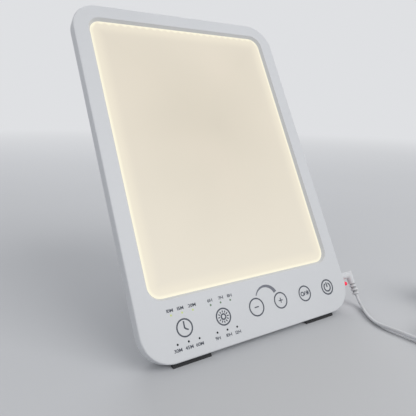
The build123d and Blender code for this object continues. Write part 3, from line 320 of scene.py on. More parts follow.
def bumpy(tree, shader, height, depth, strength=0.6):
    """Lets a height from 0 to 1 raise the surface by up to depth metres."""
    bump = tree.nodes.new("ShaderNodeBump")
    bump.inputs["Strength"].default_value = strength
    bump.inputs["Distance"].default_value = depth
    tree.links.new(height, bump.inputs["Height"])
    tree.links.new(bump.outputs["Normal"], shader.inputs["Normal"])


def shade(colour, by):
    """A colour made lighter or darker by a share."""
    return tuple(min(1, value * by) for value in colour)


# %% [markdown]
# ## One recipe for hard finishes
# Plastic from a mould, film, plated metal and ink differ in colour, in gloss and in the size of their
# grain, but not in kind: colour and gloss drift slowly, and a fine grain breaks the highlights. So one
# function makes them all. A second one puts a finish in every slot of a CAD node, so that none of the
# model's flat colours is left.

# %% The recipe, and how a node gets it
DRIFT_SIZE = 30 * MM
GLOSS_DRIFT = 0.06


def moulded(name, colour, roughness, drift, grain=0.35 * MM, depth=0.01 * MM, stretch=(1, 1, 1),
            **numbers):
    """Moulded plastic, film, metal or ink: slow drift of colour and gloss, and a fine grain."""
    material, tree, shader = new_material(name, roughness, **numbers)
    where = place_in(tree, Scale=stretch)
    slow = noise(tree, where, DRIFT_SIZE)
    tone = drift_between(tree, slow, shade(colour, 1 - drift), shade(colour, 1 + drift))
    gloss = between(tree, slow, roughness - GLOSS_DRIFT, roughness + GLOSS_DRIFT)
    tree.links.new(tone, shader.inputs["Base Color"])
    tree.links.new(gloss, shader.inputs["Roughness"])
    bumpy(tree, shader, noise(tree, where, grain, 2.0), depth)
    return material


def dress(material, *names):
    """Gives CAD nodes a finish in every slot that they have."""
    for name in names:
        piece = nodes[name]
        if not piece.material_slots:
            piece.data.materials.append(material)
        for slot in piece.material_slots:
            slot.material = material
    print(material.name, "on", ", ".join(names))


# %% [markdown]
# ## Sums in nodes
# Some finishes depend on where a point lies, and that takes sums: Math nodes for numbers, Vector Math
# nodes for places, and Mix nodes for colours. Wiring them by hand is long, so each helper takes plain
# numbers and other nodes' outputs alike, writes the first on the socket and links the second to it.

# %% Helpers for sums
def maths(tree, operation, first, second=None):
    """One Math node. A number goes on its socket, and anything else is wired in."""
    node = tree.nodes.new("ShaderNodeMath")
    node.operation = operation
    for socket, value in zip(node.inputs, (first, second)):
        if isinstance(value, (int, float)):
            socket.default_value = value
        elif value is not None:
            tree.links.new(value, socket)
    return node.outputs["Value"]


def wave(tree, kind, place, pitch):
    """A SINE or COSINE of a place, with one crest to each pitch."""
    return maths(tree, kind, maths(tree, "MULTIPLY", place, 2 * pi / pitch))


def vectors(tree, operation, first, second=None):
    """One Vector Math node. A plain vector goes on its socket, and anything else is wired in."""
    node = tree.nodes.new("ShaderNodeVectorMath")
    node.operation = operation
    sockets = (node.inputs[0], node.inputs["Scale" if operation == "SCALE" else 1])
    for socket, value in zip(sockets, (first, second)):
        if isinstance(value, (tuple, Vector)):
            socket.default_value = value
        elif value is not None:
            tree.links.new(value, socket)
    return node.outputs["Value" if operation == "LENGTH" else "Vector"]


def split(tree, vector):
    """The three parts of a vector."""
    node = tree.nodes.new("ShaderNodeSeparateXYZ")
    tree.links.new(vector, node.inputs["Vector"])
    return node.outputs["X"], node.outputs["Y"], node.outputs["Z"]


def mix(tree, factor, low, high):
    """Mixes two colours, given as colours or as outputs."""
    node = tree.nodes.new("ShaderNodeMix")
    node.data_type = "RGBA"
    colours = [socket for socket in node.inputs if socket.type == "RGBA"]
    for socket, value in zip((node.inputs["Factor"], *colours), (factor, low, high)):
        if isinstance(value, tuple):
            socket.default_value = (*value, 1)
        elif isinstance(value, (int, float)):
            socket.default_value = value
        else:
            tree.links.new(value, socket)
    return next(socket for socket in node.outputs if socket.type == "RGBA")


# %% [markdown]
# ## White plastic of the case
# The frame, the cover and the stand's leg are injection moulded in white plastic with a fine satin
# texture from the mould. The front has a finer grain than the back, and the adaptor comes from another
# maker's mould, so it is a little warmer and coarser. One recipe with other numbers gives all three.

# %% Finish the case, the leg and the adaptor
CASE_WHITE = (0.66, 0.675, 0.70)
dress(moulded("satin_white_case", CASE_WHITE, 0.42, 0.012), "front_frame")
dress(moulded("satin_white_cover", shade(CASE_WHITE, 0.985), 0.46, 0.012, 0.5 * MM, 0.02 * MM),
      "back_cover", "stand_leg")
dress(moulded("satin_white_adapter", (0.68, 0.68, 0.67), 0.42, 0.015, 0.5 * MM, 0.02 * MM),
      "adapter_front_shell", "adapter_back_shell")

# %% [markdown]
# ## Soft vinyl of the lead, the plug and the strain reliefs
# The plug is moulded straight on to the lead in soft vinyl, and the strain reliefs too. The lead is
# smoother than the case and a shade greyer, and vinyl lets a little light into its surface. Subsurface
# scattering with a radius of about a millimetre gives that soft look.

# %% Finish the lead and its mouldings
VINYL = (0.65, 0.66, 0.68)


def vinyl(name, colour, roughness):
    """Soft vinyl that light enters a little."""
    return moulded(name, colour, roughness, 0.03, 1.2 * MM, 0.02 * MM, Subsurface_Weight=0.15,
                   Subsurface_Radius=(1.0, 0.9, 0.8), Subsurface_Scale=1.2 * MM)


lead.data.materials.append(vinyl("soft_vinyl_lead", VINYL, 0.36))
print("lead's finish:", lead.active_material.name)

# %% [markdown]
# ## Grooves between the ribs
# The strain reliefs are ribbed so that they bend evenly. A groove's floor lies nearer to the sleeve's
# axis than a rib's top does, so the distance from that axis, a cross product with the axis's direction,
# says which is which. The grooves get painted shade, a greyer tone, so that the ribs stand out.

# %% Finish the plug and the adaptor's strain relief
GROOVE_FLOOR, RIB_TOP = 1.9 * MM, 2.35 * MM
GROOVE_SHADE = 0.55


def ribbed_vinyl(name, colour, through, towards):
    """Soft vinyl with painted shade in the grooves round the line between two points in millimetres."""
    material = vinyl(name, colour, 0.42)
    tree = material.node_tree
    start = Vector(through) * MM
    along = (Vector(towards) * MM - start).normalized()
    from_start = vectors(tree, "SUBTRACT", place_in(tree), start)
    from_axis = vectors(tree, "LENGTH", vectors(tree, "CROSS_PRODUCT", from_start, along))
    base_colour = tree.nodes["Principled BSDF"].inputs["Base Color"]
    unshaded = base_colour.links[0].from_socket
    # Painted shade: the base colour darkens towards the groove floors, so that the ribs stand out.
    tone = between(tree, from_axis, GROOVE_SHADE, 1.0, GROOVE_FLOOR, RIB_TOP)
    tree.links.new(vectors(tree, "SCALE", unshaded, tone), base_colour)
    return material


PLUG_VINYL = shade(VINYL, 1.04)
dress(ribbed_vinyl("soft_vinyl_plug", PLUG_VINYL, LEAD_OUT[0], LEAD_OUT[1]), "plug_body")
dress(ribbed_vinyl("soft_vinyl_relief", PLUG_VINYL, LEAD_TAIL[-1], LEAD_TAIL[-2]), "adapter_relief")

# %% [markdown]
# ## The panel's own directions
# The face leans back 30 degrees. Print and light follow the face, so they are drawn in its own
# directions: across from its centre line, up from its bottom edge, and out of its front. One matrix
# turns such a place into the lamp's frame, and its inverse lets a material ask how far up the face a
# point is.

# %% The panel's matrix
FACE_ORIGIN = Vector((-2.5, -64.8459, 4.45)) * MM
LEAN = radians(30)
FACE_HEIGHT = 238 * MM

face_to_lamp = Matrix((
    (1, 0, 0, FACE_ORIGIN.x),
    (0, sin(LEAN), -cos(LEAN), FACE_ORIGIN.y),
    (0, cos(LEAN), sin(LEAN), FACE_ORIGIN.z),
    (0, 0, 0, 1),
))
lamp_to_face = face_to_lamp.inverted()


def face_place_in(tree):
    """Coordinates on the face in metres: across, up and out."""
    return place_in(tree, Location=lamp_to_face.translation, Rotation=lamp_to_face.to_euler())


print("top of the face in mm:", [round(v / MM, 1) for v in face_to_lamp @ Vector((0, FACE_HEIGHT, 0))])

# %% [markdown]
# ## The lit opal sheet
# Light from two rows of LEDs runs through a clear guide behind the sheet and leaves it evenly, but not
# quite: the sheet is brighter along its edges and towards its bottom, the top row of LEDs leaves small
# scallops at its own pitch, and the middle is a little dimmer and patchy. A lamp behind a thin sheet
# would be slow to render and grainy, so the sheet itself glows, with Emission. Its own colour is kept
# dark, so that the glow and the room's light together stay below white.

# %% [markdown]
# ## Distance from the window's edge
# The window is a rounded rectangle. The distance of a point from such an outline has a short formula:
# fold the point into one corner, subtract the corner's centre, and measure how far it lies past it. The
# same formula in nodes gives the glow its edge, corners included, with no picture and no extra mesh.

# %% The distance as nodes
SHEET_HALF = Vector((71.0, 94.9, 0)) * MM
SHEET_MIDDLE = Vector((0, 132.0, 0)) * MM
SHEET_ROUND = 8.2 * MM


def from_window_edge(tree, flat):
    """How far a point of the sheet lies inside the window's edge, in metres."""
    past = vectors(tree, "SUBTRACT", vectors(tree, "ABSOLUTE", flat),
                   (SHEET_HALF.x - SHEET_ROUND, SHEET_HALF.y - SHEET_ROUND, 0))
    corner = vectors(tree, "LENGTH", vectors(tree, "MAXIMUM", past, (0, 0, 0)))
    across, up, _ = split(tree, past)
    inside = maths(tree, "MINIMUM", maths(tree, "MAXIMUM", across, up), 0)
    return maths(tree, "SUBTRACT", SHEET_ROUND, maths(tree, "ADD", corner, inside))


print("visible sheet in mm:", [round(2 * value / MM, 1) for value in SHEET_HALF[:2]])

# %% [markdown]
# ## The glow, layer on layer
# The glow starts from slow warm patches. Four layers are mixed over them in turn: a wide one that grows
# outwards, one that grows towards the bottom, a narrow one by the edge, and a thin bright rim. Each has
# a colour, a largest share and a reach. Near the top a cosine with the LEDs' pitch shifts the rim in
# and out, which makes the scallops.

# %% Build the glow
SHEET_COLOUR = (0.28, 0.27, 0.25)
LED_ROW, LED_COUNT = 136, 24
LED_PITCH = LED_ROW / LED_COUNT * MM
PATCH_SIZE = 70 * MM
GLOW_DIM, GLOW_MIDDLE, GLOW_WARM = (0.40, 0.355, 0.27), (0.43, 0.38, 0.29), (0.46, 0.40, 0.31)
GLOW_OUTER, OUTER_SHARE, OUTER_REACH = (0.54, 0.485, 0.385), 0.55, 60 * MM
GLOW_LOW, LOW_SHARE, LOW_REACH = (0.53, 0.49, 0.40), 0.75, 0.15
GLOW_NEAR, NEAR_SHARE, NEAR_REACH = (0.66, 0.60, 0.45), 0.5, 12 * MM
GLOW_RIM, RIM_SHARE, RIM_START, RIM_END = (0.74, 0.70, 0.52), 0.9, 0.2 * MM, 2.6 * MM
SCALLOP_DEPTH, SCALLOPS_FROM, SCALLOPS_FULL = 0.4 * MM, 0.8, 0.9


def glow_material():
    """The opal sheet: a patchy warm glow, brighter towards its edges, scalloped along its top."""
    material, tree, shader = new_material("lit_opal_sheet", 0.5, Base_Color=(*SHEET_COLOUR, 1),
                                          Emission_Strength=1.0)
    where = face_place_in(tree)
    flat = vectors(tree, "MULTIPLY", vectors(tree, "SUBTRACT", where, SHEET_MIDDLE), (1, 1, 0))
    across, up, _ = split(tree, flat)
    from_edge = from_window_edge(tree, flat)

    patches = noise(tree, where, PATCH_SIZE, 1.0)
    sheet = ramp(tree, patches, [(NOISE_LOW, GLOW_DIM), (0.5, GLOW_MIDDLE), (NOISE_HIGH, GLOW_WARM)])
    outer = between(tree, from_edge, OUTER_SHARE, 0.0, 0.0, OUTER_REACH)
    sheet = mix(tree, outer, sheet, GLOW_OUTER)
    low = between(tree, up, LOW_SHARE, 0.0, -SHEET_HALF.y, LOW_REACH * SHEET_HALF.y)
    sheet = mix(tree, low, sheet, GLOW_LOW)
    near = between(tree, from_edge, NEAR_SHARE, 0.0, 0.0, NEAR_REACH, "SMOOTHERSTEP")
    sheet = mix(tree, near, sheet, GLOW_NEAR)

    top_from, top_full = SCALLOPS_FROM * SHEET_HALF.y, SCALLOPS_FULL * SHEET_HALF.y
    at_top = between(tree, up, 0.0, SCALLOP_DEPTH, top_from, top_full)
    scallops = maths(tree, "MULTIPLY", wave(tree, "COSINE", across, LED_PITCH), at_top)
    scalloped = maths(tree, "SUBTRACT", from_edge, scallops)
    rim = between(tree, scalloped, RIM_SHARE, 0.0, RIM_START, RIM_END, "SMOOTHSTEP")
    tree.links.new(mix(tree, rim, sheet, GLOW_RIM), shader.inputs["Emission Color"])
    return material


dress(glow_material(), "diffuser_panel")

# %% [markdown]
# ## Dots and the power light
# Twelve clear pins bring the small indicator LEDs' light to the face. The upper three by the clock glow
# a faint yellow green, the upper three by the sun are a dull green, and the lower six look nearly
# black. One material can do all, because it can ask where on the face a point is. The power light in
# the right wall is a domed red LED that is on.

# %% Light up the pins
ICON_ROW = 17.9
CLOCK_SIDE = -41.0
BORDER = 1.0
PIN_DARK = (0.002, 0.006, 0.008), (0.004, 0.010, 0.012)
PIN_DULL = (0.17, 0.25, 0.17), (0.21, 0.30, 0.20)
PIN_BRIGHT = (0.47, 0.53, 0.27), (0.53, 0.59, 0.30)
NO_GLOW, PIN_GLOW = (0.0, 0.0, 0.0), (0.12, 0.16, 0.02)


def pin_material():
    """Clear pins: lit or dull green above the icon row, dark below it."""
    material, tree, shader = new_material("indicator_pins", 0.5, Specular_IOR_Level=0.2,
                                          Emission_Strength=1.0)
    where = face_place_in(tree)
    across, up, _ = split(tree, where)
    upper = between(tree, up, 0.0, 1.0, (ICON_ROW - BORDER) * MM, (ICON_ROW + BORDER) * MM)
    by_clock = between(tree, across, 1.0, 0.0, (CLOCK_SIDE - BORDER) * MM, (CLOCK_SIDE + BORDER) * MM)
    grain = noise(tree, where, 0.6 * MM)
    dark = drift_between(tree, grain, *PIN_DARK)
    dull = drift_between(tree, grain, *PIN_DULL)
    bright = drift_between(tree, grain, *PIN_BRIGHT)
    green = mix(tree, by_clock, dull, bright)
    tree.links.new(mix(tree, upper, dark, green), shader.inputs["Base Color"])
    lit = maths(tree, "MULTIPLY", upper, by_clock)
    tree.links.new(mix(tree, lit, NO_GLOW, PIN_GLOW), shader.inputs["Emission Color"])
    return material


dress(pin_material(), "indicator_light_pipes")

# %% Light up the power light
RED_BODY = (0.42, 0.004, 0.02), (0.55, 0.01, 0.035)
RED_GLOW = (0.42, 0.004, 0.03), (0.60, 0.02, 0.06)


def red_light_material():
    """A tinted dome with its light on, which is a little uneven."""
    material, tree, shader = new_material("red_power_light", 0.18, Emission_Strength=1.0)
    uneven = noise(tree, place_in(tree), 1.5 * MM, 1.0)
    for socket, (low, high) in (("Base Color", RED_BODY), ("Emission Color", RED_GLOW)):
        tree.links.new(ramp(tree, uneven, [(0.35, low), (0.65, high)]), shader.inputs[socket])
    return material


dress(red_light_material(), "power_light")

# %% [markdown]
# ## Print on the face
# The icons, the arc between minus and plus, and the small figures are pad printed: a film of dark ink a
# few hundredths of a millimetre thick. A picture would need an image file, and a node pattern would
# blur in a close view, so each mark is a thin ribbon of mesh on the face. A ribbon follows a line of
# points with a width at each, which draws rings, hands, rays and the arc that swells.

# %% The ink, and points on a ring
INK_THICKNESS = 0.04 * MM
INK_LINE, BOLD_LINE, THIN_LINE = 0.9 * MM, 1.05 * MM, 0.7 * MM
ink = moulded("printed_ink", (0.075, 0.085, 0.110), 0.6, 0.1)
pale_ink = moulded("printed_pale_ink", (0.180, 0.190, 0.225), 0.6, 0.06)


def ring_points(centre, radius, count, start=0.0, turn=360.0):
    """Points round a centre, in millimetres on the face."""
    steps = count if turn == 360.0 else count - 1
    angles = [radians(start + turn * number / steps) for number in range(count)]
    return [(centre[0] + radius * cos(angle), centre[1] + radius * sin(angle)) for angle in angles]


# %% A ribbon, and a printed mark
def ribbon(build, points, widths, closed):
    """Adds a flat ribbon along points, given in metres on the face, to a mesh in the making."""
    count = len(points)
    pairs = []
    for number, place in enumerate(points):
        before = points[(number - 1) % count] if closed or number else place
        after = points[(number + 1) % count] if closed or number < count - 1 else place
        side = (after - before).normalized().cross(Vector((0, 0, 1))) * widths[number] / 2
        pairs.append([build.verts.new(face_to_lamp @ (place + way * side)) for way in (1, -1)])
    for number in range(count if closed else count - 1):
        here, there = pairs[number], pairs[(number + 1) % count]
        build.faces.new((here[0], there[0], there[1], here[1]))


def printed(name, strokes, colour=ink):
    """One printed mark from strokes, each (points in mm, width or widths in metres, closed)."""
    build = bmesh.new()
    for points, width, closed in strokes:
        places = [Vector((x * MM, y * MM, INK_THICKNESS)) for x, y in points]
        widths = width if isinstance(width, list) else [width] * len(places)
        ribbon(build, places, widths, closed)
    bmesh.ops.recalc_face_normals(build, faces=build.faces)
    piece = made(name, build, smooth=False)
    piece.data.materials.append(colour)
    film = piece.modifiers.new("film", "SOLIDIFY")
    film.thickness, film.offset = INK_THICKNESS, 0
    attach(piece, "panel")


# %% [markdown]
# ## The six icons
# Each icon is a ring with a simple sign in it: a clock, a sun, minus, plus, a choice of modes and
# power. The signs are plain line drawings from a few points each, with their places given from the
# ring's middle in millimetres.

# %% Draw the icons
ICONS = {"timer": -54.3, "sun": -26.95, "minus": -1.0, "plus": 19.4, "mode": 41.5, "power": 63.7}
RINGS = {"timer": 5.0, "sun": 5.0, "minus": 5.5, "plus": 5.1, "mode": 5.05, "power": 5.1}


def line(*points, width=INK_LINE):
    """A straight or bent stroke."""
    return (list(points), width, False)


def ring(centre, radius, width, count=64):
    """A closed ring."""
    return (ring_points(centre, radius, count), width, True)


def rays(centre, inner, outer, count, width):
    """Short strokes that point away from a centre."""
    turns = [360 * number / count for number in range(count)]
    ends = [[ring_points(centre, reach, 1, turn)[0] for reach in (inner, outer)] for turn in turns]
    return [line(*pair, width=width) for pair in ends]


def icon(name, *inner):
    """A ring round an icon's place, with its inner strokes."""
    centre = (ICONS[name], ICON_ROW)
    strokes = [ring(centre, RINGS[name], BOLD_LINE if name == "power" else INK_LINE)]
    for points, width, closed in inner:
        strokes.append(([(centre[0] + x, centre[1] + y) for x, y in points], width, closed))
    printed("icon_" + name, strokes)


icon("timer", line((0.1, 3.8), (-0.05, -0.1)), line((-0.2, 0.15), (0.8, -0.85), (2.3, -1.55)))
icon("sun", ring((0, 0), 1.6, INK_LINE, 32), *rays((0, 0), 2.5, 3.8, 12, THIN_LINE))
icon("minus", line((-1.7, 0), (1.7, 0), width=THIN_LINE))
icon("plus", line((-1.65, 0), (1.65, 0), width=THIN_LINE),
     line((0, -1.65), (0, 1.65), width=THIN_LINE))
icon("mode", ring((-2.2, 0), 1.25, THIN_LINE, 24), line((-0.65, -1.35), (0.45, 1.35), width=THIN_LINE),
     ring((2.5, 0.1), 0.55, BOLD_LINE, 20), *rays((2.5, 0.1), 1.2, 1.8, 8, 0.5 * MM))
icon("power", (ring_points((0, 0), 2.9, 40, 118, 304), BOLD_LINE, False),
     line((0, 0), (0, 3.5), width=BOLD_LINE))
print("icons:", ", ".join(ICONS))

# %% [markdown]
# ## The arc from minus to plus
# Between minus and plus an arc swells from a hair to a broad end, to say that the light grows. The
# ribbon maker takes a width at each point, so the arc is one more ribbon, in a paler ink than the
# icons.

# %% Draw the arc
ARC_CENTRE, ARC_RADIUS = (8.6, 20.9), 8.75
ARC_START, ARC_TURN = 153.0, -131.0
ARC_THIN, ARC_THICK = 0.6 * MM, 2.6 * MM
ARC_POINTS = 40

swell = ARC_THICK - ARC_THIN
arc_widths = [ARC_THIN + swell * number / (ARC_POINTS - 1) for number in range(ARC_POINTS)]
arc_line = ring_points(ARC_CENTRE, ARC_RADIUS, ARC_POINTS, ARC_START, ARC_TURN)
printed("arc_minus_to_plus", [(arc_line, arc_widths, False)], pale_ink)
print("arc swells in mm from", round(ARC_THIN / MM, 1), "to", round(ARC_THICK / MM, 1))

# %% [markdown]
# ## Figures beside the dots
# Minutes and hours stand beside the twelve dots. They are text objects in Blender's own plain font,
# laid on the face with the same matrix. Text stays editable and costs a few lines, where drawn figures
# would cost many. A small offset makes the thin font as bold as print, a little width makes it as
# squat, and the narrow 1 is set closer to the figure after it.

# %% Set the figures
FIGURE_SIZE = 2.65 * MM
FIGURE_BOLD = 0.06 * MM
FIGURE_WIDE = 1.15
CLOSER = -14
LABEL_ROWS = {
    ("timer", 29.3): {"10M": -7.1, "15M": -0.15, "20M": 8.0},
    ("timer", 6.5): {"30M": -7.1, "45M": 0.3, "60M": 7.3},
    ("sun", 29.3): {"6H": -6.7, "7H": 1.3, "8H": 7.9},
    ("sun", 6.5): {"9H": -7.3, "10H": 0.6, "12H": 7.4},
}


def figure(text, across, up):
    """One short printed figure, centred on its place on the face."""
    font = bpy.data.curves.new("figure", "FONT")
    font.body = text
    font.size = FIGURE_SIZE
    font.offset = FIGURE_BOLD
    font.align_x, font.align_y = "CENTER", "CENTER"
    font.extrude = INK_THICKNESS / 2
    font.materials.append(ink)
    if text.startswith("1"):
        font.body_format[0].kerning = CLOSER
    piece = new_object("figure_" + text, font)
    place = Matrix.Translation((across * MM, up * MM, INK_THICKNESS))
    piece.matrix_world = face_to_lamp @ place @ Matrix.Scale(FIGURE_WIDE, 4, (1, 0, 0))
    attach(piece, "panel")


for (name, up), row in LABEL_ROWS.items():
    for text, aside in row.items():
        figure(text, ICONS[name] + aside, up)
print("figures:", sum(len(row) for row in LABEL_ROWS.values()))

# %% [markdown]
# ## Rubber feet
# Two strips under the panel's edge and a boot on the stand's end keep the lamp from sliding. Rubber is
# nearly black, matt, and covered in a fine dusty grain, so its roughness is high and its bump is deeper
# than the plastic's.

# %% Finish the rubber
dress(moulded("matt_rubber", (0.030, 0.030, 0.033), 0.78, 0.2, 0.25 * MM, 0.03 * MM),
      "front_feet", "stand_foot")

# %% [markdown]
# ## Metals
# The hinge bracket is stamped from zinc-plated sheet, which is rolled, so its grain runs one way. The
# pin and the screws are turned and plated, and the contacts and blades are nickel plated and brighter.
# All are the same recipe with Metallic at 1 and other grains: stretching the coordinates along one axis
# makes the noise into brushed lines.

# %% Finish the metal pieces
ZINC, STEEL, NICKEL = (0.56, 0.57, 0.60), (0.50, 0.50, 0.52), (0.66, 0.65, 0.62)
dress(moulded("rolled_zinc", ZINC, 0.36, 0.08, 0.4 * MM, 0.01 * MM, (0.08, 1, 1), Metallic=1.0),
      "hinge_bracket")
dress(moulded("turned_steel", STEEL, 0.30, 0.06, 0.3 * MM, 0.008 * MM, (1, 0.2, 1), Metallic=1.0),
      "hinge_pin")
dress(moulded("plated_screws", shade(ZINC, 0.9), 0.32, 0.1, 0.3 * MM, 0.01 * MM, Metallic=1.0),
      "case_screws", "board_screws", "bracket_screws")
dress(moulded("plated_contacts", NICKEL, 0.22, 0.05, 0.5 * MM, 0.006 * MM, (1, 1, 0.1), Metallic=1.0),
      "plug_barrel", "dc_jack_pin", "adapter_blades")
dress(moulded("capacitor_cans", (0.62, 0.62, 0.64), 0.34, 0.05, 0.4 * MM, 0.008 * MM, Metallic=1.0),
      "driver_capacitors")

# %% [markdown]
# ## The optical stack behind the sheet
# Behind the opal sheet lie a clear acrylic guide with a raster of printed dots that lets the light out,
# a matt white film that throws it forward, and strips of foam that press the stack together. They only
# show when the lamp is taken apart, but a reusable model is looked at in pieces too. The raster is a
# Voronoi texture without its randomness, which is a regular grid of points.

# %% Finish the guide, the film and the foam
RASTER = 2.2 * MM
DOT_SIZE, DOT_EDGE = 0.22, 0.30
FOAM_CELL = 0.5 * MM
FOAM_CHARCOAL = (0.035, 0.035, 0.038)


def cells(tree, vector, size, randomness):
    """Distance from the middle of the nearest cell, from 0 to about 1."""
    texture = tree.nodes.new("ShaderNodeTexVoronoi")
    texture.inputs["Scale"].default_value = 1 / size
    texture.inputs["Randomness"].default_value = randomness
    tree.links.new(vector, texture.inputs["Vector"])
    return texture.outputs["Distance"]


def guide_material():
    """Clear acrylic with a raster of white dots."""
    material, tree, shader = new_material("clear_guide", 0.06, Transmission_Weight=0.85, IOR=1.49)
    raster = cells(tree, vectors(tree, "MULTIPLY", face_place_in(tree), (1, 1, 0)), RASTER, 0.0)
    dots = between(tree, raster, 1.0, 0.0, DOT_SIZE, DOT_EDGE)
    tree.links.new(mix(tree, dots, (0.92, 0.95, 0.95), (0.80, 0.80, 0.80)), shader.inputs["Base Color"])
    tree.links.new(between(tree, dots, 0.05, 0.7), shader.inputs["Roughness"])
    return material


def foam_material():
    """Cellular foam: each cell a small pit, with painted shade in its middle."""
    material, tree, shader = new_material("charcoal_foam", 0.9)
    pits = cells(tree, place_in(tree), FOAM_CELL, 1.0)
    # Painted shade: each pit darkens towards its middle.
    tone = ramp(tree, pits, [(0.1, shade(FOAM_CHARCOAL, 0.6)), (0.6, FOAM_CHARCOAL)])
    tree.links.new(tone, shader.inputs["Base Color"])
    bumpy(tree, shader, pits, 0.1 * MM, 0.8)
    return material


dress(guide_material(), "light_guide")
dress(moulded("white_film", (0.80, 0.80, 0.79), 0.6, 0.02, 1.5 * MM, 0.01 * MM), "reflector_sheet")
dress(foam_material(), "foam_strips", "touch_pads")

# %% [markdown]
# ## LEDs and their boards
# Each LED is a white package with a window of yellow phosphor in its middle. The LEDs stand in a row at
# one pitch, so a cosine along the row says how far a point is from the middle of its LED, and one
# threshold turns that into package or phosphor. The strips that carry them are white, and the lamp's
# control board and the adaptor's board are green. Lighter tracks show through, and a Brick texture
# draws them well: its mortar runs in straight lines with right angles, as tracks do.

# %% Finish the LEDs
PHOSPHOR_FROM, PHOSPHOR_FULL = 0.30, 0.45
PACKAGE_WHITE, PHOSPHOR_YELLOW = (0.80, 0.80, 0.78), (0.75, 0.62, 0.14)
PHOSPHOR_GLOW = (0.22, 0.20, 0.10)


def led_material():
    """White packages with lit phosphor windows."""
    material, tree, shader = new_material("led_packages", 0.35, Emission_Strength=1.0)
    where = face_place_in(tree)
    offset = maths(tree, "ADD", split(tree, where)[0], LED_PITCH / 2)
    middles = wave(tree, "COSINE", offset, LED_PITCH)
    window = between(tree, middles, 0.0, 1.0, PHOSPHOR_FROM, PHOSPHOR_FULL)
    tree.links.new(mix(tree, window, PACKAGE_WHITE, PHOSPHOR_YELLOW), shader.inputs["Base Color"])
    tree.links.new(mix(tree, window, NO_GLOW, PHOSPHOR_GLOW), shader.inputs["Emission Color"])
    bumpy(tree, shader, noise(tree, where, 0.3 * MM), 0.02 * MM)
    return material


dress(led_material(), "leds_top", "leds_bottom")

# %% Finish the boards
MASK_GREEN, TRACK_GREEN = (0.012, 0.085, 0.040), (0.030, 0.160, 0.075)
TRACK_WIDTH = 0.035


def board_material(name, mask, track, where_in, size):
    """A circuit board: coloured mask with tracks that show through it."""
    material, tree, shader = new_material(name, 0.35)
    where = where_in(tree)
    bricks = tree.nodes.new("ShaderNodeTexBrick")
    bricks.inputs["Scale"].default_value = 1 / size
    bricks.inputs["Mortar Size"].default_value = TRACK_WIDTH
    bricks.inputs["Color1"].default_value = (*mask, 1)
    bricks.inputs["Color2"].default_value = (*shade(mask, 1.12), 1)
    bricks.inputs["Mortar"].default_value = (*track, 1)
    tree.links.new(where, bricks.inputs["Vector"])
    tree.links.new(bricks.outputs["Color"], shader.inputs["Base Color"])
    bumpy(tree, shader, bricks.outputs["Fac"], 0.03 * MM)
    return material


dress(board_material("indicator_leds_white", (0.72, 0.70, 0.60), (0.60, 0.52, 0.20), face_place_in,
                     1.6 * MM), "indicator_leds")
dress(board_material("white_led_boards", (0.74, 0.74, 0.72), (0.62, 0.62, 0.60), face_place_in,
                     9 * MM), "led_board_top", "led_board_bottom")
dress(board_material("green_control_board", MASK_GREEN, TRACK_GREEN, face_place_in, 7 * MM),
      "control_board")
dress(board_material("green_adapter_board", MASK_GREEN, TRACK_GREEN, place_in, 9 * MM), "adapter_board")

# %% [markdown]
# ## Parts on the boards
# Chips, the inductor and the jack are black mouldings with different grains, the connectors are natural
# nylon, and the transformer shows yellow tape below and its dark ferrite core above. The two leads to
# each LED board are a red and a black one, side by side. Both are two colours split at a place, so one
# recipe makes them.

# %% Finish what the boards carry
TAPE_YELLOW, FERRITE = (0.62, 0.42, 0.03), (0.030, 0.030, 0.032)
WIRE_RED, WIRE_BLACK = (0.35, 0.01, 0.01), (0.02, 0.02, 0.022)
SOFTNESS = 0.1 * MM


def striped(name, edge, low, high, axis=0):
    """Two colours, one on each side of a place along an axis."""
    material, tree, shader = new_material(name, 0.4)
    where = place_in(tree)
    side = between(tree, split(tree, where)[axis], 0.0, 1.0, edge - SOFTNESS, edge + SOFTNESS)
    grain = noise(tree, where, 2 * MM)
    before = drift_between(tree, grain, shade(low, 0.9), low)
    after = drift_between(tree, grain, shade(high, 0.9), high)
    tree.links.new(mix(tree, side, before, after), shader.inputs["Base Color"])
    bumpy(tree, shader, grain, 0.01 * MM)
    return material


def middle_of(name, axis):
    """The middle of a node's box along an axis."""
    low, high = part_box(name)
    return (low[axis] + high[axis]) / 2


for name in ("top_board_leads", "bottom_board_leads"):
    dress(striped("red_and_black_" + name, middle_of(name, 0), WIRE_RED, WIRE_BLACK), name)
dress(moulded("black_epoxy", (0.018, 0.018, 0.020), 0.5, 0.15, 0.15 * MM, 0.01 * MM),
      "touch_chip", "led_driver_chip")
dress(moulded("ferrite_block", FERRITE, 0.65, 0.2, 0.2 * MM, 0.02 * MM), "driver_inductor")
dress(moulded("black_jack", (0.022, 0.022, 0.024), 0.38, 0.1, 0.4 * MM, 0.01 * MM), "dc_jack")
dress(moulded("natural_nylon", (0.70, 0.67, 0.57), 0.4, 0.03), "lead_connectors")
dress(moulded("white_acetal", (0.62, 0.62, 0.60), 0.35, 0.03), "friction_washers")
dress(striped("transformer_tape", middle_of("adapter_transformer", 2), TAPE_YELLOW, FERRITE, 2),
      "adapter_transformer")

# %% [markdown]
# ## The strap round the coil
# The spare lead is held by a soft woven strap. Its weave is two sets of fine waves at right angles, one
# across and one along, whose higher one wins at each point. That is a plain weave seen from a little
# way off. Its colour follows the weave's height: painted shade darkens the hollows between the threads.

# %% Weave the strap
THREAD = 0.7 * MM
THREAD_SHADED, THREAD_LIT = (0.40, 0.40, 0.41), (0.58, 0.58, 0.59)


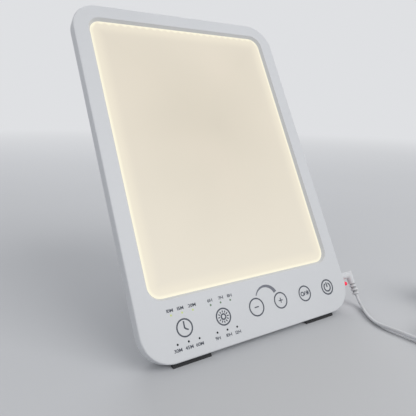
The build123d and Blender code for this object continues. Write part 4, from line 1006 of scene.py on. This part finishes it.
def strap_material():
    """Woven polyester strap, with painted shade in the hollows between the threads."""
    material, tree, shader = new_material("woven_strap", 0.85, Sheen_Weight=0.3, Sheen_Roughness=0.5)
    where = place_in(tree)
    x, y, z = split(tree, where)
    threads = [wave(tree, "SINE", way, THREAD) for way in (maths(tree, "ADD", x, y), z)]
    weave = between(tree, maths(tree, "MAXIMUM", *threads), 0.0, 1.0, -1.0, 1.0)
    # Painted shade and light: the colour goes from dark in the hollows to light on the threads' tops.
    tone = ramp(tree, weave, [(0.0, THREAD_SHADED), (1.0, THREAD_LIT)])
    tree.links.new(tone, shader.inputs["Base Color"])
    bumpy(tree, shader, weave, 0.12 * MM, 0.8)
    return material


dress(strap_material(), "cord_tie")

# %% [markdown]
# ## The room
# The studio is plain: a wide pale floor in a pale room. The room lights the lamp gently, but the Light
# Path node makes it paler for the camera, in reflections and through glass, so that the background is
# pale with no extra soft light on the lamp.

# %% Build the room
ROOM_COLOUR = (0.74, 0.75, 0.77)
DAYLIGHT, ROOM_LIGHT = (0.97, 0.98, 1.0), 0.50


def seen_directly(tree):
    """1 for rays that show the backdrop: straight from the camera, mirrored or through glass."""
    path = tree.nodes.new("ShaderNodeLightPath")
    seen = maths(tree, "MAXIMUM", path.outputs["Is Camera Ray"], path.outputs["Is Glossy Ray"])
    return maths(tree, "MAXIMUM", seen, path.outputs["Is Transmission Ray"])


world = bpy.data.worlds.new("room")
bpy.context.scene.world = world
world.use_nodes = True
tree = world.node_tree
lighting = tree.nodes["Background"]
lighting.inputs["Color"].default_value = (*DAYLIGHT, 1)
lighting.inputs["Strength"].default_value = ROOM_LIGHT
backdrop = tree.nodes.new("ShaderNodeBackground")
backdrop.inputs["Color"].default_value = (*ROOM_COLOUR, 1)
chosen = tree.nodes.new("ShaderNodeMixShader")
tree.links.new(seen_directly(tree), chosen.inputs["Fac"])
tree.links.new(lighting.outputs["Background"], chosen.inputs[1])
tree.links.new(backdrop.outputs["Background"], chosen.inputs[2])
tree.links.new(chosen.outputs["Shader"], tree.nodes["World Output"].inputs["Surface"])
print("room's light:", ROOM_LIGHT, "and its colour:", ROOM_COLOUR)

# %% [markdown]
# ## The floor
# The floor is one wide disc, and near the lamp it is plain matt paint that keeps the lamp's shadow. Far
# away it turns slowly into the room's colour, so that no horizon shows. The change is Emission, mixed
# in only for the rays that show the background, so that it adds nothing to the soft light on the lamp.

# %% Lay the floor
FLOOR_RADIUS = 6.0
FADE_START, FADE_END = 0.15, 2.2
FLOOR_PALE = (0.57, 0.58, 0.60)
SPOT_SIZE = 0.4


def floor_material():
    """Pale matt floor that turns into the backdrop's colour far away."""
    material, tree, shader = new_material("studio_floor", 0.85)
    where = place_in(tree)
    spots = noise(tree, where, SPOT_SIZE)
    tone = drift_between(tree, spots, shade(FLOOR_PALE, 0.99), shade(FLOOR_PALE, 1.01))
    tree.links.new(tone, shader.inputs["Base Color"])
    far = between(tree, vectors(tree, "LENGTH", where), 0.0, 1.0, FADE_START, FADE_END, "SMOOTHSTEP")
    away = tree.nodes.new("ShaderNodeEmission")
    away.inputs["Color"].default_value = (*ROOM_COLOUR, 1)
    blend = tree.nodes.new("ShaderNodeMixShader")
    tree.links.new(maths(tree, "MULTIPLY", far, seen_directly(tree)), blend.inputs["Fac"])
    tree.links.new(shader.outputs["BSDF"], blend.inputs[1])
    tree.links.new(away.outputs["Emission"], blend.inputs[2])
    tree.links.new(blend.outputs["Shader"], tree.nodes["Material Output"].inputs["Surface"])
    return material


build = bmesh.new()
bmesh.ops.create_circle(build, cap_ends=True, radius=FLOOR_RADIUS, segments=96)
floor = made("floor", build, smooth=False)
floor.data.materials.append(floor_material())
print("floor fades from", FADE_START, "to", FADE_END, "m")

# %% [markdown]
# ## Soft lamps
# Three large area lights stand round the lamp. The key comes from the front right and above, so that
# the face is bright and the wall on the left is a step darker, which shows how thin the panel is. The
# fill is weak, and the back light draws the edges of the lead and the plug.

# %% Hang the lamps
TARGET = Vector((0, 0, 0.1))


def soft_lamp(name, place, size, power, colour):
    """A square area light that looks at the lamp."""
    light = bpy.data.lights.new(name, "AREA")
    light.size, light.energy, light.color = size, power, colour
    lamp = new_object(name, light)
    lamp.location = place
    lamp.rotation_euler = (TARGET - Vector(place)).to_track_quat("-Z", "Y").to_euler()


soft_lamp("key", (0.6, -1.25, 1.3), 1.4, 14.5, (1.0, 0.99, 0.97))
soft_lamp("fill", (-1.4, -0.9, 0.9), 1.8, 2.8, (0.95, 0.97, 1.0))
soft_lamp("back", (0.5, 1.3, 1.2), 0.9, 7.0, (0.97, 0.98, 1.0))
bpy.context.scene.view_settings.view_transform = "Standard"
